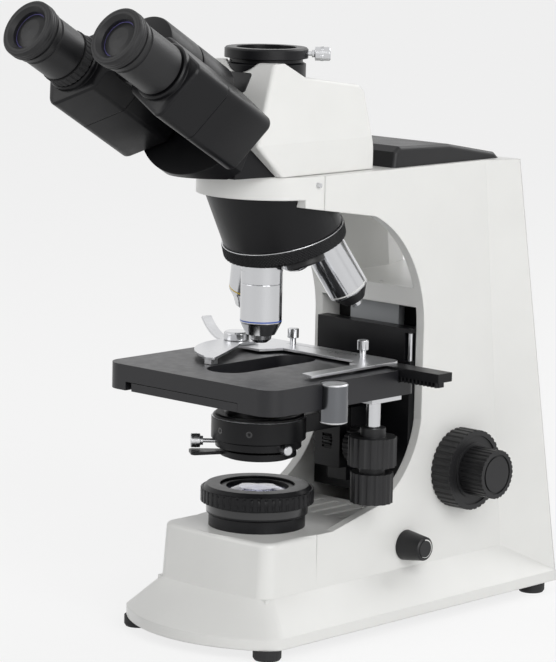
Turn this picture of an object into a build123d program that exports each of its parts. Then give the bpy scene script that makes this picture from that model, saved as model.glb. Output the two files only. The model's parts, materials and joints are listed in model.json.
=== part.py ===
from build123d import *
import os
from math import atan2, cos, degrees, pi, radians, sin, sqrt, tan

# A trinocular laboratory microscope for transmitted light. All lengths are in
# millimetres. X points to the user's right, Y away from the user, Z up. The
# model is drawn with its optical axis on Z and the bench at Z = 0, and is moved
# at the end so that the centre of its plan lies on the origin.

# Fits
RUN = 0.05            # radial clearance of a shaft turning in its bore
GAP = 0.4             # clearance between bodies that slide past each other
SEAT = 0.1            # clearance of a piece seated in its housing

# Stand
COLUMN_HALF = 47.5    # half the width of the column and arm
COLUMN_WALL = 6.5
BASE_TOP = 69.0
BASE_WALL = 5.0
BASE_FRONT = -41.0    # front face of the base block at its top
CREASE = 34.0         # height where the skirt starts to flare
SKIRT_HALF = 67.0
SKIRT_SHOULDER = -50.4
SKIRT_BOW = 26.6
SKIRT_CORNER = 14.0
BASE_BOW = 2.5
BASE_CORNER = 9.0
BASE_DRAFT = 3.0      # how far the front leans out down to the crease
SKIRT_EDGE = 14.0     # top of the skirt's upright edge
RIM = 7.0             # height of the casting's lower rim
REAR_FOOT = 228.0     # rear edge of the casting at the rim
REAR_TOP = 185.5      # rear edge of the casting at the arm top
REAR_HALF_TOP = 57.5
COVER_FRONT = 74.0      # front edge of the wedge on the arm
CREASE_FOOT = 193.0   # where the side walls start to flare, at the rim
CREASE_TOP = 162.0
ARM_TOP = 297.0
ARM_UNDER = 282.5
NOSE_STEP_Y = -9.0    # step in the arm's underside over the nosepiece
NOSE_STEP = 277.5
NOSE_HOOK_Y = 54.0
NOSE_HOOK = 268.0
NOSE_RADIUS = 46.5
NOSE_CENTRE = 5.5
CHANNEL_FRONT = 98.0  # front of the cross member and rear edge of the base top
CROSS_TOP = 217.0
CROSS_UNDER = 204.0
HAND_TOP = 270.0      # ceiling of the hand hole
MOUTH_EDGE = 104.0    # upright front edge of the column's side walls
FOOT_RADIUS = 9.0
FOOT_X = 57.0
FOOT_FRONT = -49.0
FOOT_REAR = 213.7
FOOT_STEM = 2.5
COVER_THICKNESS = 2.5
RIM_WALL = 3.0
POST_RADIUS = 5.0
SCREW_SHANK = 1.5
SCREW_HEAD = 3.0
SCREW_LENGTH = 11.0
HEAD_SOCKET = 22.0
DIMMER_Y = 91.5
DIMMER_Z = 49.4
DIMMER_SHAFT = 3.0
INLET_X = 0.0
INLET_Z = 40.0
INLET_HALF = 24.0
INLET_TALL = 11.0
ROCKER_X = 15.0
ROCKER_PIN = 1.0
ROCKER_DEPTH = 4.5      # pivot behind the rear face
VENTS = 5
VENT_LEFT = -24.0
VENT_STEP = 12.0
VENT_WIDTH = 4.0
VENT_Y = (52, 90)

# Focus drive
FOCUS_Y = 141.6
FOCUS_Z = 94.5
COARSE_RADIUS = 26.5
COARSE_WIDTH = 15.0
FINE_RADIUS = 16.2
FINE_END = 82.0
COARSE_SHAFT = 6.0
FINE_SHAFT = 3.0
BUSH_RADIUS = 9.0
BUSH_FLANGE = 12.0
RACK_DEPTH = 6.6      # pitch line of the focus rack to its back
FOCUS_MODULE = 1.0
FOCUS_TEETH = 16
RACK_X = 29.0         # left side of the focus rack
RACK_WIDTH = 8.0
LIFT_UP = 12.0
LIFT_DOWN = 8.0

# Carriage
SLAB_FRONT = 99.0
SLAB_THICKNESS = 10.0
SLAB_TOP = 190.0
SLAB_FOOT = 76.5
SLIDE_HALF = 21.0     # front half width of the fixed dovetail
SLIDE_BACK = 16.0
SLIDE_DEPTH = 11.5
CHEEK = 30.0
PANEL_THICKNESS = 3.0
BRACKET_THICKNESS = 6.0
BRACKET_INNER = 31.5
BRACKET_OUTER = 42.0
BRACKET_FRONT = -20.0
RAIL_HALF = 8.0
RAIL_FRONT = 76.0
RAIL_FOOT = 88.0
STOP_ROD = 1.5

# Stage
STAGE_TOP = 172.8
STAGE_THICKNESS = 16.5
STAGE_HALF = 72.5
STAGE_FRONT = -67.0
STAGE_REAR = 68.0
STAGE_CORNER = 12.0
SEAM = 162.0          # ceiling of the pocket that holds the lower plate
LOWER_LEFT = -48.3
LOWER_RIGHT = 44.2
LOWER_REAR = 84.0
SLOT_WIDTH = 30.0
SLOT_FRONT = -42.0
SLOT_REAR = 45.0
BAR_TOP = 174.4
BAR_HEIGHT = 5.7
BAR_FRONT = 51.2
BAR_REAR = 64.5
BAR_LEFT = -66.0
BAR_RIGHT = 105.0
DRIVE_X = 60.0
DRIVE_Y = 42.0
DRIVE_SHAFT = 1.5
DRIVE_TUBE = 3.0
DRIVE_COLUMN = 4.5
DRIVE_PLATE = 3.0
X_KNOB_RADIUS = 13.75
X_KNOB_FOOT = 87.4
X_KNOB_TOP = 106.8
Y_KNOB_RADIUS = 15.5
Y_KNOB_FOOT = 111.1
Y_KNOB_TOP = 129.9
COLLAR_RADIUS = 8.2
COLLAR_TOP = 135.7
DRIVE_MODULE = 1.0
X_TEETH = 20
X_RACK_HEIGHT = 3.2
Y_TEETH = 16
TRAVEL_X = 38.0
POST_X = 74.5
POST_Y = -12.0
POST_SIDE = 8.7
POST_FOOT = 147.5

# Slide holder
HOLDER_THICKNESS = 1.6
HOLDER_FRONT = 43.0
ARM_LEFT = 52.0
ARM_RIGHT = 62.5
ARM_FRONT = -20.0
CLIP_X = -54.0
CLIP_Y = 30.0
CLIP_KNOB = 8.5
JAW_THICKNESS = 1.6
PIN = 2.0

# Condenser and field lens
RING_RADIUS = 30.3
RING_FOOT = 126.0
RING_TOP = 139.5
CONDENSER_BODY = 26.0
CONDENSER_FLANGE = 27.5
TOP_LENS = 13.5
TOP_LENS_Z = 159.0
KNOB_SHAFT = 2.5
CONDENSER_MODULE = 0.8
CONDENSER_TEETH = 14
CONDENSER_Z = 115.0
CONDENSER_KNOB = 12.5
LEVER_Z = 116.5
FIELD_RING = 36.3
FIELD_TOP = 95.5
FIELD_BAND = 8.5
FIELD_NECK = 31.0
FIELD_LENS = 20.0

# Lamp
MIRROR_Z = 38.0
MIRROR_THICKNESS = 2.0
LAMP_Y = 72.0

# Nosepiece
TILT = 17.5           # lean of the turret axis
SEAT_CIRCLE = 23.5
SHOULDER_Z = 236.4    # shoulder of the working objective
TURRET_RADIUS = 39.5
TURRET_BAND = 9.0
STATIONS = 5
OBJECTIVE_RADIUS = 13.3
THREAD_RADIUS = 10.16
THREAD_LENGTH = 4.5
BEAM = 8.0            # radius of the light passage
STUD = 7.0

# Head
INCLINE = 30.0        # eyepiece tubes above the horizontal
PIVOT_Z = 314.0
ARM_RHO = 42.2        # eyepiece axis to the pivot of the wings
WING_DROP = 26.5      # wings below the flat position, in degrees
WING_RADIUS = 24.0
HUB_RADIUS = 13.0
BARREL_RADIUS = 8.0
HUB_FACE = 44.4       # front face of the white housing, along the pivot
WING_FOOT = 62.0
WING_TOP = 137.0
KNUCKLE = 32.0        # length of each wing's hub
EYEPIECE_TOP = 184.0
EYEPIECE_RIM = 18.3
EYEPIECE_BARREL = 16.6
SLEEVE = 11.6
HEAD_BOTTOM = 297.4
HEAD_HALF = 40.0
HEAD_REAR = 58.0
HEAD_DISC = 44.0       # round foot of the black front housing
HEAD_TOP = 366.0
PORT_TOP = 374.3
PORT_SEAT = 346.0
PORT_FLANGE = 26.3
PORT_TUBE = 25.0
PORT_BORE = 19.0
PRISM_SEAT = 4.0
DOVETAIL = 21.5
PORT_SCREW_TURN = 43.0
NECK_RADIUS = 15.5
DIOPTER_WIDTH = 7.0
EYE_LENS = 12.0

BASE = (Align.CENTER, Align.CENTER, Align.MIN)
ALONG_X = Rot(0, 90, 0)
ALONG_Y = Rot(-90, 0, 0)
TUBES = Pos(0, 0, PIVOT_Z) * Rot(90 - INCLINE, 0, 0)
TURRET = (Pos(0, SEAT_CIRCLE * cos(radians(TILT)), SHOULDER_Z + SEAT_CIRCLE * sin(radians(TILT)))
          * Rot(180 + TILT, 0, 0))


def cylinder(radius, length, place=Location()):
    """Cylinder that stands on the place and rises along its Z."""
    return place * Cylinder(radius, length, align=BASE)


def tube(outer, inner, length, place=Location()):
    return cylinder(outer, length, place) - cylinder(inner, length, place)


def block(x, y, z):
    """Box between three pairs of limits."""
    size = [limits[1] - limits[0] for limits in (x, y, z)]
    centre = [(limits[0] + limits[1]) / 2 for limits in (x, y, z)]
    return Pos(*centre) * Box(*size)


def turned(*points):
    """Solid of revolution about Z, from points of radius and height."""
    return revolve(Plane.XZ * make_face(Polyline(*points, close=True)), Axis.Z)


def side_plate(outline, x_min, x_max):
    """Outline in Y and Z, extruded from x_min to x_max."""
    face = Pos(x_min, 0, 0) * (Plane.YZ * make_face(outline))
    return extrude(face, x_max - x_min, dir=(1, 0, 0))


def flat_plate(outline, z_min, z_max):
    """Outline in X and Y, extruded from z_min to z_max."""
    return extrude(Pos(0, 0, z_min) * make_face(outline), z_max - z_min, dir=(0, 0, 1))


def fluted(radius, length, count, groove, depth, place=Location()):
    """Knob blank with round flutes cut along its rim."""
    blank = Cylinder(radius, length, align=BASE)
    cutter = Cylinder(groove, length, align=BASE)
    return place * (blank - PolarLocations(radius + groove - depth, count) * cutter)


def toothed_wheel(module, teeth, width):
    """Spur pinion about Z with a tooth on +X."""
    pitch = module * teeth / 2
    tip, root = pitch + 0.8 * module, pitch - 1.1 * module
    half_pitch = (pi * module / 4 - 0.08 * module) / pitch
    half_tip = half_pitch - 0.8 * module * tan(radians(20)) / pitch
    half_root = half_pitch + 1.1 * module * tan(radians(20)) / pitch
    points = []
    for tooth in range(teeth):
        middle = 2 * pi * tooth / teeth
        for radius, turn in ((root, -half_root), (tip, -half_tip), (tip, half_tip), (root, half_root)):
            points.append((radius * cos(middle + turn), radius * sin(middle + turn)))
    return extrude(make_face(Polyline(*points, close=True)), width, dir=(0, 0, 1))


def toothed_bar(module, first, last, back, width):
    """Rack along X with its pitch line on Y = 0, teeth towards -Y and one space centred on X = 0."""
    step = pi * module
    tip, root = 0.8 * module, 1.1 * module
    half = step / 4 - 0.08 * module
    half_tip = half - tip * tan(radians(20))
    half_root = half + root * tan(radians(20))
    points = [(first * step, back), (first * step, root)]
    for tooth in range(first, last):
        middle = (tooth + 0.5) * step
        points += [(middle - half_root, root), (middle - half_tip, -tip),
                   (middle + half_tip, -tip), (middle + half_root, root)]
    points += [(last * step, root), (last * step, back)]
    return extrude(make_face(Polyline(*points, close=True)), width, dir=(0, 0, 1))


def block_plan(half, shoulder, bow, corner, rear, z):
    """Plan of the base at one height: bowed front with rounded corners."""
    left, right = (-half, shoulder), (half, shoulder)
    plan = make_face([Line((half, rear), right),
                      ThreePointArc(right, (0, shoulder - bow), left),
                      Line(left, (-half, rear)),
                      Line((-half, rear), (half, rear))])
    return Pos(0, 0, z) * fillet(plan.vertices().sort_by(Axis.Y)[:2], corner)


def base_plan(z, inset, rear):
    """Plan of the base block above the crease."""
    shrink = inset + 0.5 * (z - CREASE) / (BASE_TOP - CREASE)
    draft = BASE_DRAFT * (BASE_TOP - z) / (BASE_TOP - CREASE)
    return block_plan(COLUMN_HALF - shrink, BASE_FRONT + BASE_BOW - draft + inset, BASE_BOW,
                      BASE_CORNER - inset / 2, rear, z)


def skirt_plan(z, inset, rear):
    return block_plan(SKIRT_HALF - inset, SKIRT_SHOULDER + inset, SKIRT_BOW, SKIRT_CORNER - inset / 2, rear, z)


def along_height(foot, top, z):
    """Value at height z of something that runs straight from the rim to the arm top."""
    return foot + (top - foot) * (z - RIM) / (ARM_TOP - RIM)


def column_plan(z, inset, rear_inset):
    """Plan of the column at height z: straight sides that flare at the rear."""
    crease = along_height(CREASE_FOOT, CREASE_TOP, z)
    rear = along_height(REAR_FOOT, REAR_TOP, z) - rear_inset
    rear_half = along_height(SKIRT_HALF, REAR_HALF_TOP, z) - inset
    half = COLUMN_HALF - inset
    front = NOSE_CENTRE - NOSE_RADIUS + inset
    outline = Polyline((-half, front), (half, front), (half, crease), (rear_half, rear),
                       (-rear_half, rear), (-half, crease), close=True)
    return Pos(0, 0, z) * make_face(outline)


def mouth():
    """Side outline of the open space between the base and the arm."""
    lower, upper = (MOUTH_EDGE, 131), (MOUTH_EDGE, 188)
    toe, hook, shoulder = (62, 79), (NOSE_HOOK_Y, NOSE_HOOK), (NOSE_STEP_Y, NOSE_STEP)
    return [Line((-60, BASE_TOP), (20, BASE_TOP)),
            Line((20, BASE_TOP), toe),
            ThreePointArc(toe, (88.5, 97), lower),
            Line(lower, upper),
            ThreePointArc(upper, (92.5, 234), hook),
            Line(hook, shoulder),
            Line(shoulder, (shoulder[0], ARM_UNDER)),
            Line((shoulder[0], ARM_UNDER), (-60, ARM_UNDER)),
            Line((-60, ARM_UNDER), (-60, BASE_TOP))]


def cover_posts():
    """Places and heights of the posts that take the cover screws."""
    front = [(Pos(x, -28, 0), BASE_TOP - 2) for x in (-36, 36)]
    rear = [(Pos(x, 214, 0), CREASE + 8) for x in (-40, 40)]
    return front + rear


def stand_casting():
    channel_half = COLUMN_HALF - COLUMN_WALL
    tower = loft([column_plan(CREASE, 0, 0), column_plan(ARM_TOP, 0, 0)], ruled=True)
    nose = cylinder(NOSE_RADIUS, ARM_TOP, Pos(0, NOSE_CENTRE, 0))
    rest = block((-80, 80), (NOSE_CENTRE, 260), (0, ARM_TOP))
    tower = tower & (nose + rest)
    tower -= side_plate(mouth(), -80, 80)
    foot = loft([column_plan(RIM, 0, 0), column_plan(CREASE, 0, 0)], ruled=True)
    body = loft([base_plan(CREASE, 0, CREASE_TOP), base_plan(BASE_TOP, 0, CREASE_TOP)], ruled=True)
    top_edges = [e for e in body.edges().group_by(Axis.Z)[-1] if e.center().Y < CREASE_TOP - 1]
    body = fillet(top_edges, 3)
    skirt = loft([skirt_plan(SKIRT_EDGE, 0, REAR_FOOT - 1), base_plan(CREASE, 0, CREASE_FOOT)], ruled=True)
    edge = extrude(skirt_plan(RIM, 0, REAR_FOOT), SKIRT_EDGE - RIM, dir=(0, 0, 1))
    casting = tower + foot + body + skirt + edge
    # Hollow of the base
    hollow = CREASE - 3
    casting -= extrude(skirt_plan(RIM, RIM_WALL, REAR_FOOT - RIM_WALL), COVER_THICKNESS, dir=(0, 0, 1))
    casting -= loft([skirt_plan(RIM + COVER_THICKNESS, BASE_WALL + 1, REAR_FOOT - BASE_WALL - 1),
                     base_plan(hollow, BASE_WALL, CREASE_FOOT - BASE_WALL)], ruled=True)
    casting -= extrude(base_plan(hollow, BASE_WALL, CHANNEL_FRONT + 20),
                       BASE_TOP - BASE_WALL - hollow, dir=(0, 0, 1))
    # Hollow of the column, its open front channel and the hand hole
    casting -= loft([column_plan(CREASE - 3, COLUMN_WALL, BASE_WALL),
                     column_plan(CROSS_UNDER, COLUMN_WALL, BASE_WALL)], ruled=True) & block(
        (-80, 80), (CHANNEL_FRONT, 260), (0, CROSS_UNDER))
    casting -= block((-channel_half, channel_half), (-60, CHANNEL_FRONT), (BASE_TOP, CROSS_TOP))
    hand = loft([column_plan(CROSS_TOP, COLUMN_WALL, -5),
                 column_plan(HAND_TOP, COLUMN_WALL, -5)], ruled=True)
    casting -= hand & block((-80, 80), (40, 260), (CROSS_TOP, HAND_TOP))
    # Posts for the cover screws, with their holes
    seat = Pos(0, 0, RIM + COVER_THICKNESS)
    for place, top in cover_posts():
        post = cylinder(POST_RADIUS, top - RIM - COVER_THICKNESS, place * seat)
        casting += post
        casting -= cylinder(SCREW_SHANK + SEAT, SCREW_LENGTH + 1, place * seat)
    # Seats and bores
    casting -= cylinder(HEAD_SOCKET, 6, Pos(0, 0, ARM_TOP - 6))
    casting -= cylinder(13, 60, Pos(0, 0, ARM_UNDER - 40))
    casting -= cylinder(FIELD_NECK - 4, 20, Pos(0, 0, BASE_TOP - 15))
    casting -= cylinder(BUSH_RADIUS, 2 * COLUMN_HALF + 2,
                        Pos(-COLUMN_HALF - 1, FOCUS_Y, FOCUS_Z) * ALONG_X)
    casting -= cylinder(DIMMER_SHAFT + 0.5, COLUMN_WALL + 6,
                        Pos(COLUMN_HALF - COLUMN_WALL - 1, DIMMER_Y, DIMMER_Z) * ALONG_X)
    casting -= block((INLET_X - INLET_HALF, INLET_X + INLET_HALF), (200, 240),
                     (INLET_Z - INLET_TALL, INLET_Z + INLET_TALL))
    for slot in range(VENTS):
        x = VENT_LEFT + slot * VENT_STEP
        casting -= block((x - VENT_WIDTH / 2, x + VENT_WIDTH / 2), VENT_Y, (BASE_TOP - 10, BASE_TOP + 1))
    casting -= cylinder(1.5, 8, Pos(COLUMN_HALF - 6, 0, 291.5) * ALONG_X)
    casting -= cylinder(2, 8, Pos(6, 108, CROSS_TOP - 6))
    return casting


def base_cover():
    plan = skirt_plan(RIM, RIM_WALL + 2 * SEAT, REAR_FOOT - RIM_WALL - 2 * SEAT)
    plate = extrude(plan, COVER_THICKNESS, dir=(0, 0, 1))
    for place, _ in cover_posts():
        plate -= cylinder(SCREW_SHANK + SEAT, 20, place)
        plate -= cylinder(SCREW_HEAD + SEAT, SCREW_HEAD / 2, place * Pos(0, 0, RIM))
    for place in foot_places():
        plate -= cylinder(FOOT_STEM + SEAT, 20, place)
    for row in range(4):
        plate -= block((-24, 24), (LAMP_Y - 20 + 12 * row, LAMP_Y - 16 + 12 * row), (0, 20))
    return plate


def foot_places():
    return [Pos(x, y, 0) for x in (-FOOT_X, FOOT_X) for y in (FOOT_FRONT, FOOT_REAR)]


def foot_pads():
    pad = turned((0, 0), (FOOT_RADIUS - 1, 0), (FOOT_RADIUS, 1.5), (FOOT_RADIUS, RIM),
                 (FOOT_STEM, RIM), (FOOT_STEM, RIM + COVER_THICKNESS), (0, RIM + COVER_THICKNESS))
    return [place * pad for place in foot_places()]


def cover_screws():
    head = SCREW_HEAD / 2
    screw = turned((0, 0), (SCREW_HEAD, 0), (SCREW_HEAD, head), (SCREW_SHANK, head),
                   (SCREW_SHANK, SCREW_LENGTH), (0, SCREW_LENGTH))
    return [place * Pos(0, 0, RIM) * screw for place, _ in cover_posts()]


def grub_screws():
    """Head clamp screw in the arm's side and the plug on the cross member."""
    clamp = cylinder(1.5, 7, Pos(COLUMN_HALF - 6, 0, 291.5) * ALONG_X)
    plug = cylinder(2, 5.5, Pos(6, 108, CROSS_TOP - 6))
    return [clamp, plug]


def handle_cover():
    """Wedge that covers the rear of the arm, where the hand carries it."""
    outline = Polyline((COVER_FRONT, ARM_TOP), (COVER_FRONT + 1.5, ARM_TOP + 10), (COVER_FRONT + 6, ARM_TOP + 13.5),
                       (130, ARM_TOP + 12), (176, ARM_TOP + 4), (181, ARM_TOP), close=True)
    wedge = side_plate(outline, -44, 44)
    top = [e for e in wedge.edges() if abs(e.center().X) > 43 and e.center().Z > ARM_TOP + 1]
    return fillet(top, 3)


def slide_base():
    """Fixed dovetail that guides the carriage."""
    front = SLAB_FRONT + SLAB_THICKNESS + GAP
    outline = Polyline((-SLIDE_HALF, front), (SLIDE_HALF, front), (SLIDE_BACK, front + SLIDE_DEPTH),
                       (-SLIDE_BACK, front + SLIDE_DEPTH), close=True)
    return flat_plate(outline, SLAB_FOOT, CROSS_UNDER)


def column_panel():
    """Black plate across the column behind the dovetail, slotted for the rack."""
    half = COLUMN_HALF - COLUMN_WALL
    front = SLAB_FRONT + SLAB_THICKNESS + GAP + SLIDE_DEPTH
    plate = block((-half, half), (front, front + PANEL_THICKNESS), (BASE_TOP + 2, CROSS_UNDER))
    slot_foot = FOCUS_Z - LIFT_UP - LIFT_DOWN - 8
    slot_top = FOCUS_Z + LIFT_UP + LIFT_DOWN + 8
    return plate - block((RACK_X - 1.5, half + 1), (front - 1, front + 5), (slot_foot, slot_top))


def focus_bushes():
    bush = (cylinder(BUSH_RADIUS - SEAT, COLUMN_WALL) + cylinder(BUSH_FLANGE, 2, Pos(0, 0, -2))
            - cylinder(COARSE_SHAFT + RUN, 30, Pos(0, 0, -10)))
    inner = COLUMN_HALF - COLUMN_WALL
    right = Pos(inner, FOCUS_Y, FOCUS_Z) * ALONG_X * bush
    return [right, mirror(right, Plane.YZ)]


def coarse_shaft():
    """Tube through both walls that carries the coarse knobs and the focus pinion."""
    half = COLUMN_HALF + GAP + 6
    shaft = cylinder(COARSE_SHAFT, 2 * half, Pos(-half, FOCUS_Y, FOCUS_Z) * ALONG_X)
    wheel = toothed_wheel(FOCUS_MODULE, FOCUS_TEETH, RACK_WIDTH)
    shaft += Location(Plane((RACK_X, FOCUS_Y, FOCUS_Z), x_dir=(0, -1, 0), z_dir=(1, 0, 0))) * wheel
    return shaft - cylinder(FINE_SHAFT + RUN, 2 * half + 2, Pos(-half - 1, FOCUS_Y, FOCUS_Z) * ALONG_X)


def coarse_knobs():
    knob = fluted(COARSE_RADIUS, COARSE_WIDTH, 36, 1.2, 0.8)
    knob -= tube(COARSE_RADIUS - 3.5, FINE_RADIUS + 2, 2, Pos(0, 0, COARSE_WIDTH - 1))
    knob -= cylinder(COARSE_SHAFT, 7, Pos(0, 0, -1))
    knob -= cylinder(FINE_SHAFT + RUN, COARSE_WIDTH + 2, Pos(0, 0, -1))
    right = Pos(COLUMN_HALF + GAP, FOCUS_Y, FOCUS_Z) * ALONG_X * knob
    return [right, mirror(right, Plane.YZ)]


def fine_shaft():
    return cylinder(FINE_SHAFT, 2 * (FINE_END - 6), Pos(6 - FINE_END, FOCUS_Y, FOCUS_Z) * ALONG_X)


def fine_knobs():
    length = FINE_END - COLUMN_HALF - 2 * GAP - COARSE_WIDTH
    knob = fluted(FINE_RADIUS, length, 30, 1.0, 0.6)
    knob -= tube(FINE_RADIUS - 3, FINE_RADIUS - 4.5, 2, Pos(0, 0, length - 1))
    knob -= cylinder(FINE_SHAFT, length - 6, Pos(0, 0, 0))
    right = Pos(FINE_END - length, FOCUS_Y, FOCUS_Z) * ALONG_X * knob
    return [right, mirror(right, Plane.YZ)]


def collector_housing():
    """Black neck on the base that holds the field lens."""
    body = turned((0, BASE_TOP), (FIELD_NECK, BASE_TOP), (FIELD_NECK, FIELD_TOP - 19), (FIELD_NECK + 1.5, FIELD_TOP - 18),
                  (FIELD_NECK + 1.5, FIELD_TOP - FIELD_BAND - 3), (FIELD_NECK - 2, FIELD_TOP - FIELD_BAND - 3),
                  (FIELD_NECK - 2, FIELD_TOP - 1.5), (0, FIELD_TOP - 1.5))
    spigot = cylinder(FIELD_NECK - 4 - SEAT, 6, Pos(0, 0, BASE_TOP - 6))
    bore = cylinder(FIELD_LENS - 2, 60, Pos(0, 0, BASE_TOP - 10))
    seat = cylinder(FIELD_LENS + SEAT, 20, Pos(0, 0, FIELD_TOP - 8))
    return body + spigot - bore - seat


def field_ring():
    """Knurled ring of the field diaphragm."""
    foot = FIELD_TOP - FIELD_BAND - 2.5
    ring = fluted(FIELD_RING, FIELD_BAND, 48, 1.2, 0.7, Pos(0, 0, foot))
    ring += turned((FIELD_RING - 1.5, foot + FIELD_BAND), (FIELD_RING - 3.5, FIELD_TOP),
                   (FIELD_LENS + 4, FIELD_TOP), (FIELD_LENS + 4, foot + FIELD_BAND))
    ring -= cylinder(FIELD_NECK - 2 + 2 * RUN, FIELD_TOP - 1.4 - foot + 0.3, Pos(0, 0, foot - 0.001))
    return ring - cylinder(FIELD_LENS + 4, 40, Pos(0, 0, foot))


def field_lens():
    return turned((0, FIELD_TOP - 8), (FIELD_LENS, FIELD_TOP - 8), (FIELD_LENS, FIELD_TOP - 4),
                  (FIELD_LENS * 0.6, FIELD_TOP - 1.6), (0, FIELD_TOP - 0.6))


def lamp_bracket():
    """Sheet bracket on the base cover with the lamp socket and the mirror's slope."""
    floor = RIM + COVER_THICKNESS
    plate = block((-18, 18), (-24, LAMP_Y + 14), (floor, floor + 2))
    back = MIRROR_Z - MIRROR_THICKNESS * sqrt(2)
    slope = side_plate(Polyline((-16, floor + 2), (16, floor + 2), (16, back - 16), (-16, back + 16), close=True),
                       -16, 16)
    rear = block((-14, 14), (LAMP_Y + 8, LAMP_Y + 12), (floor + 2, MIRROR_Z + 14))
    socket = cylinder(7, 6, Pos(0, LAMP_Y + 2, MIRROR_Z) * ALONG_Y)
    lens_stand = block((-14, 14), (34, 38), (floor + 2, MIRROR_Z + 14)) - cylinder(
        11, 8, Pos(0, 32, MIRROR_Z) * ALONG_Y)
    return plate + slope + rear + socket + lens_stand


def mirror_plate():
    """Mirror at 45 degrees that turns the lamp's light upwards."""
    face = Pos(0, 0, MIRROR_Z) * Rot(-45, 0, 0)
    return face * Box(28, 40, MIRROR_THICKNESS, align=(Align.CENTER, Align.CENTER, Align.MAX))


def lamp_bulb():
    """Halogen capsule with its two pins."""
    glass = Pos(0, LAMP_Y + 2, MIRROR_Z) * Rot(90, 0, 0) * turned(
        (0, 0), (4.5, 0), (4.8, 6), (4.8, 16), (3, 20), (0, 21.5))
    return glass


def power_board():
    """Supply board with its transformer and the dimmer's potentiometer."""
    floor = RIM + COVER_THICKNESS
    board = block((-30, 30), (100, 196), (floor + 5, floor + 6.6))
    coil = block((-22, 6), (150, 186), (floor + 6.6, floor + 30))
    can = cylinder(8, 22, Pos(18, 172, floor + 6.6))
    legs = block((-30, -26), (100, 104), (floor, floor + 5)) + block((26, 30), (192, 196), (floor, floor + 5))
    legs += block((26, 30), (100, 104), (floor, floor + 5)) + block((-30, -26), (192, 196), (floor, floor + 5))
    return board + coil + can + legs


def dimmer_pot():
    """Potentiometer behind the side wall."""
    inner = COLUMN_HALF - BASE_WALL
    can = cylinder(8, 9, Pos(inner - 9, DIMMER_Y, DIMMER_Z) * ALONG_X)
    return can


def power_inlet():
    """Appliance inlet with a rocker frame beside it."""
    rear = along_height(REAR_FOOT, REAR_TOP, INLET_Z + INLET_TALL)
    body = block((INLET_X - INLET_HALF + SEAT, INLET_X + INLET_HALF - SEAT), (rear - 20.5, rear - 1),
                 (INLET_Z - INLET_TALL + SEAT, INLET_Z + INLET_TALL - SEAT))
    socket = block((INLET_X - 20, INLET_X + 4), (rear - 18, rear + 1), (INLET_Z - 8, INLET_Z + 8))
    pins = [block((INLET_X - 8 + x - 1, INLET_X - 8 + x + 1), (rear - 18, rear - 6), (INLET_Z + z - 2, INLET_Z + z + 2))
            for x, z in ((-7, -1), (0, 3), (7, -1))]
    window = block((ROCKER_X - 6, ROCKER_X + 6), (rear - 12, rear + 1), (INLET_Z - 9, INLET_Z + 9))
    pivot = cylinder(ROCKER_PIN, 13, Pos(ROCKER_X - 6.5, rear - ROCKER_DEPTH, INLET_Z) * ALONG_X)
    return body - socket + pins - window + pivot


def power_rocker():
    """Rocker of the power switch, on the pin across its window."""
    rear = along_height(REAR_FOOT, REAR_TOP, INLET_Z + INLET_TALL)
    rocker = side_plate([Line((rear - 3, INLET_Z - 8), (rear - 1, INLET_Z)),
                         Line((rear - 1, INLET_Z), (rear, INLET_Z + 8)),
                         Line((rear, INLET_Z + 8), (rear - 7, INLET_Z + 6)),
                         Line((rear - 7, INLET_Z + 6), (rear - 7, INLET_Z - 6)),
                         Line((rear - 7, INLET_Z - 6), (rear - 3, INLET_Z - 8))], ROCKER_X - 5.5, ROCKER_X + 5.5)
    return rocker - cylinder(ROCKER_PIN + RUN, 13, Pos(ROCKER_X - 6.5, rear - ROCKER_DEPTH, INLET_Z) * ALONG_X)


def brightness_knob():
    """Dimmer knob on the side of the base, tapered towards its face."""
    length = 17.0
    knob = turned((0, 0), (10, 0), (9.6, 3), (8.8, 9), (7.8, length - 0.8), (7.0, length), (0, length))
    knob -= turned((5.6, length - 0.5), (6.4, length - 0.5), (6.4, length + 1), (5.6, length + 1))
    knob += cylinder(DIMMER_SHAFT, BASE_WALL + 1, Pos(0, 0, -BASE_WALL))
    return Pos(COLUMN_HALF + GAP, DIMMER_Y, DIMMER_Z) * ALONG_X * knob


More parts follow.
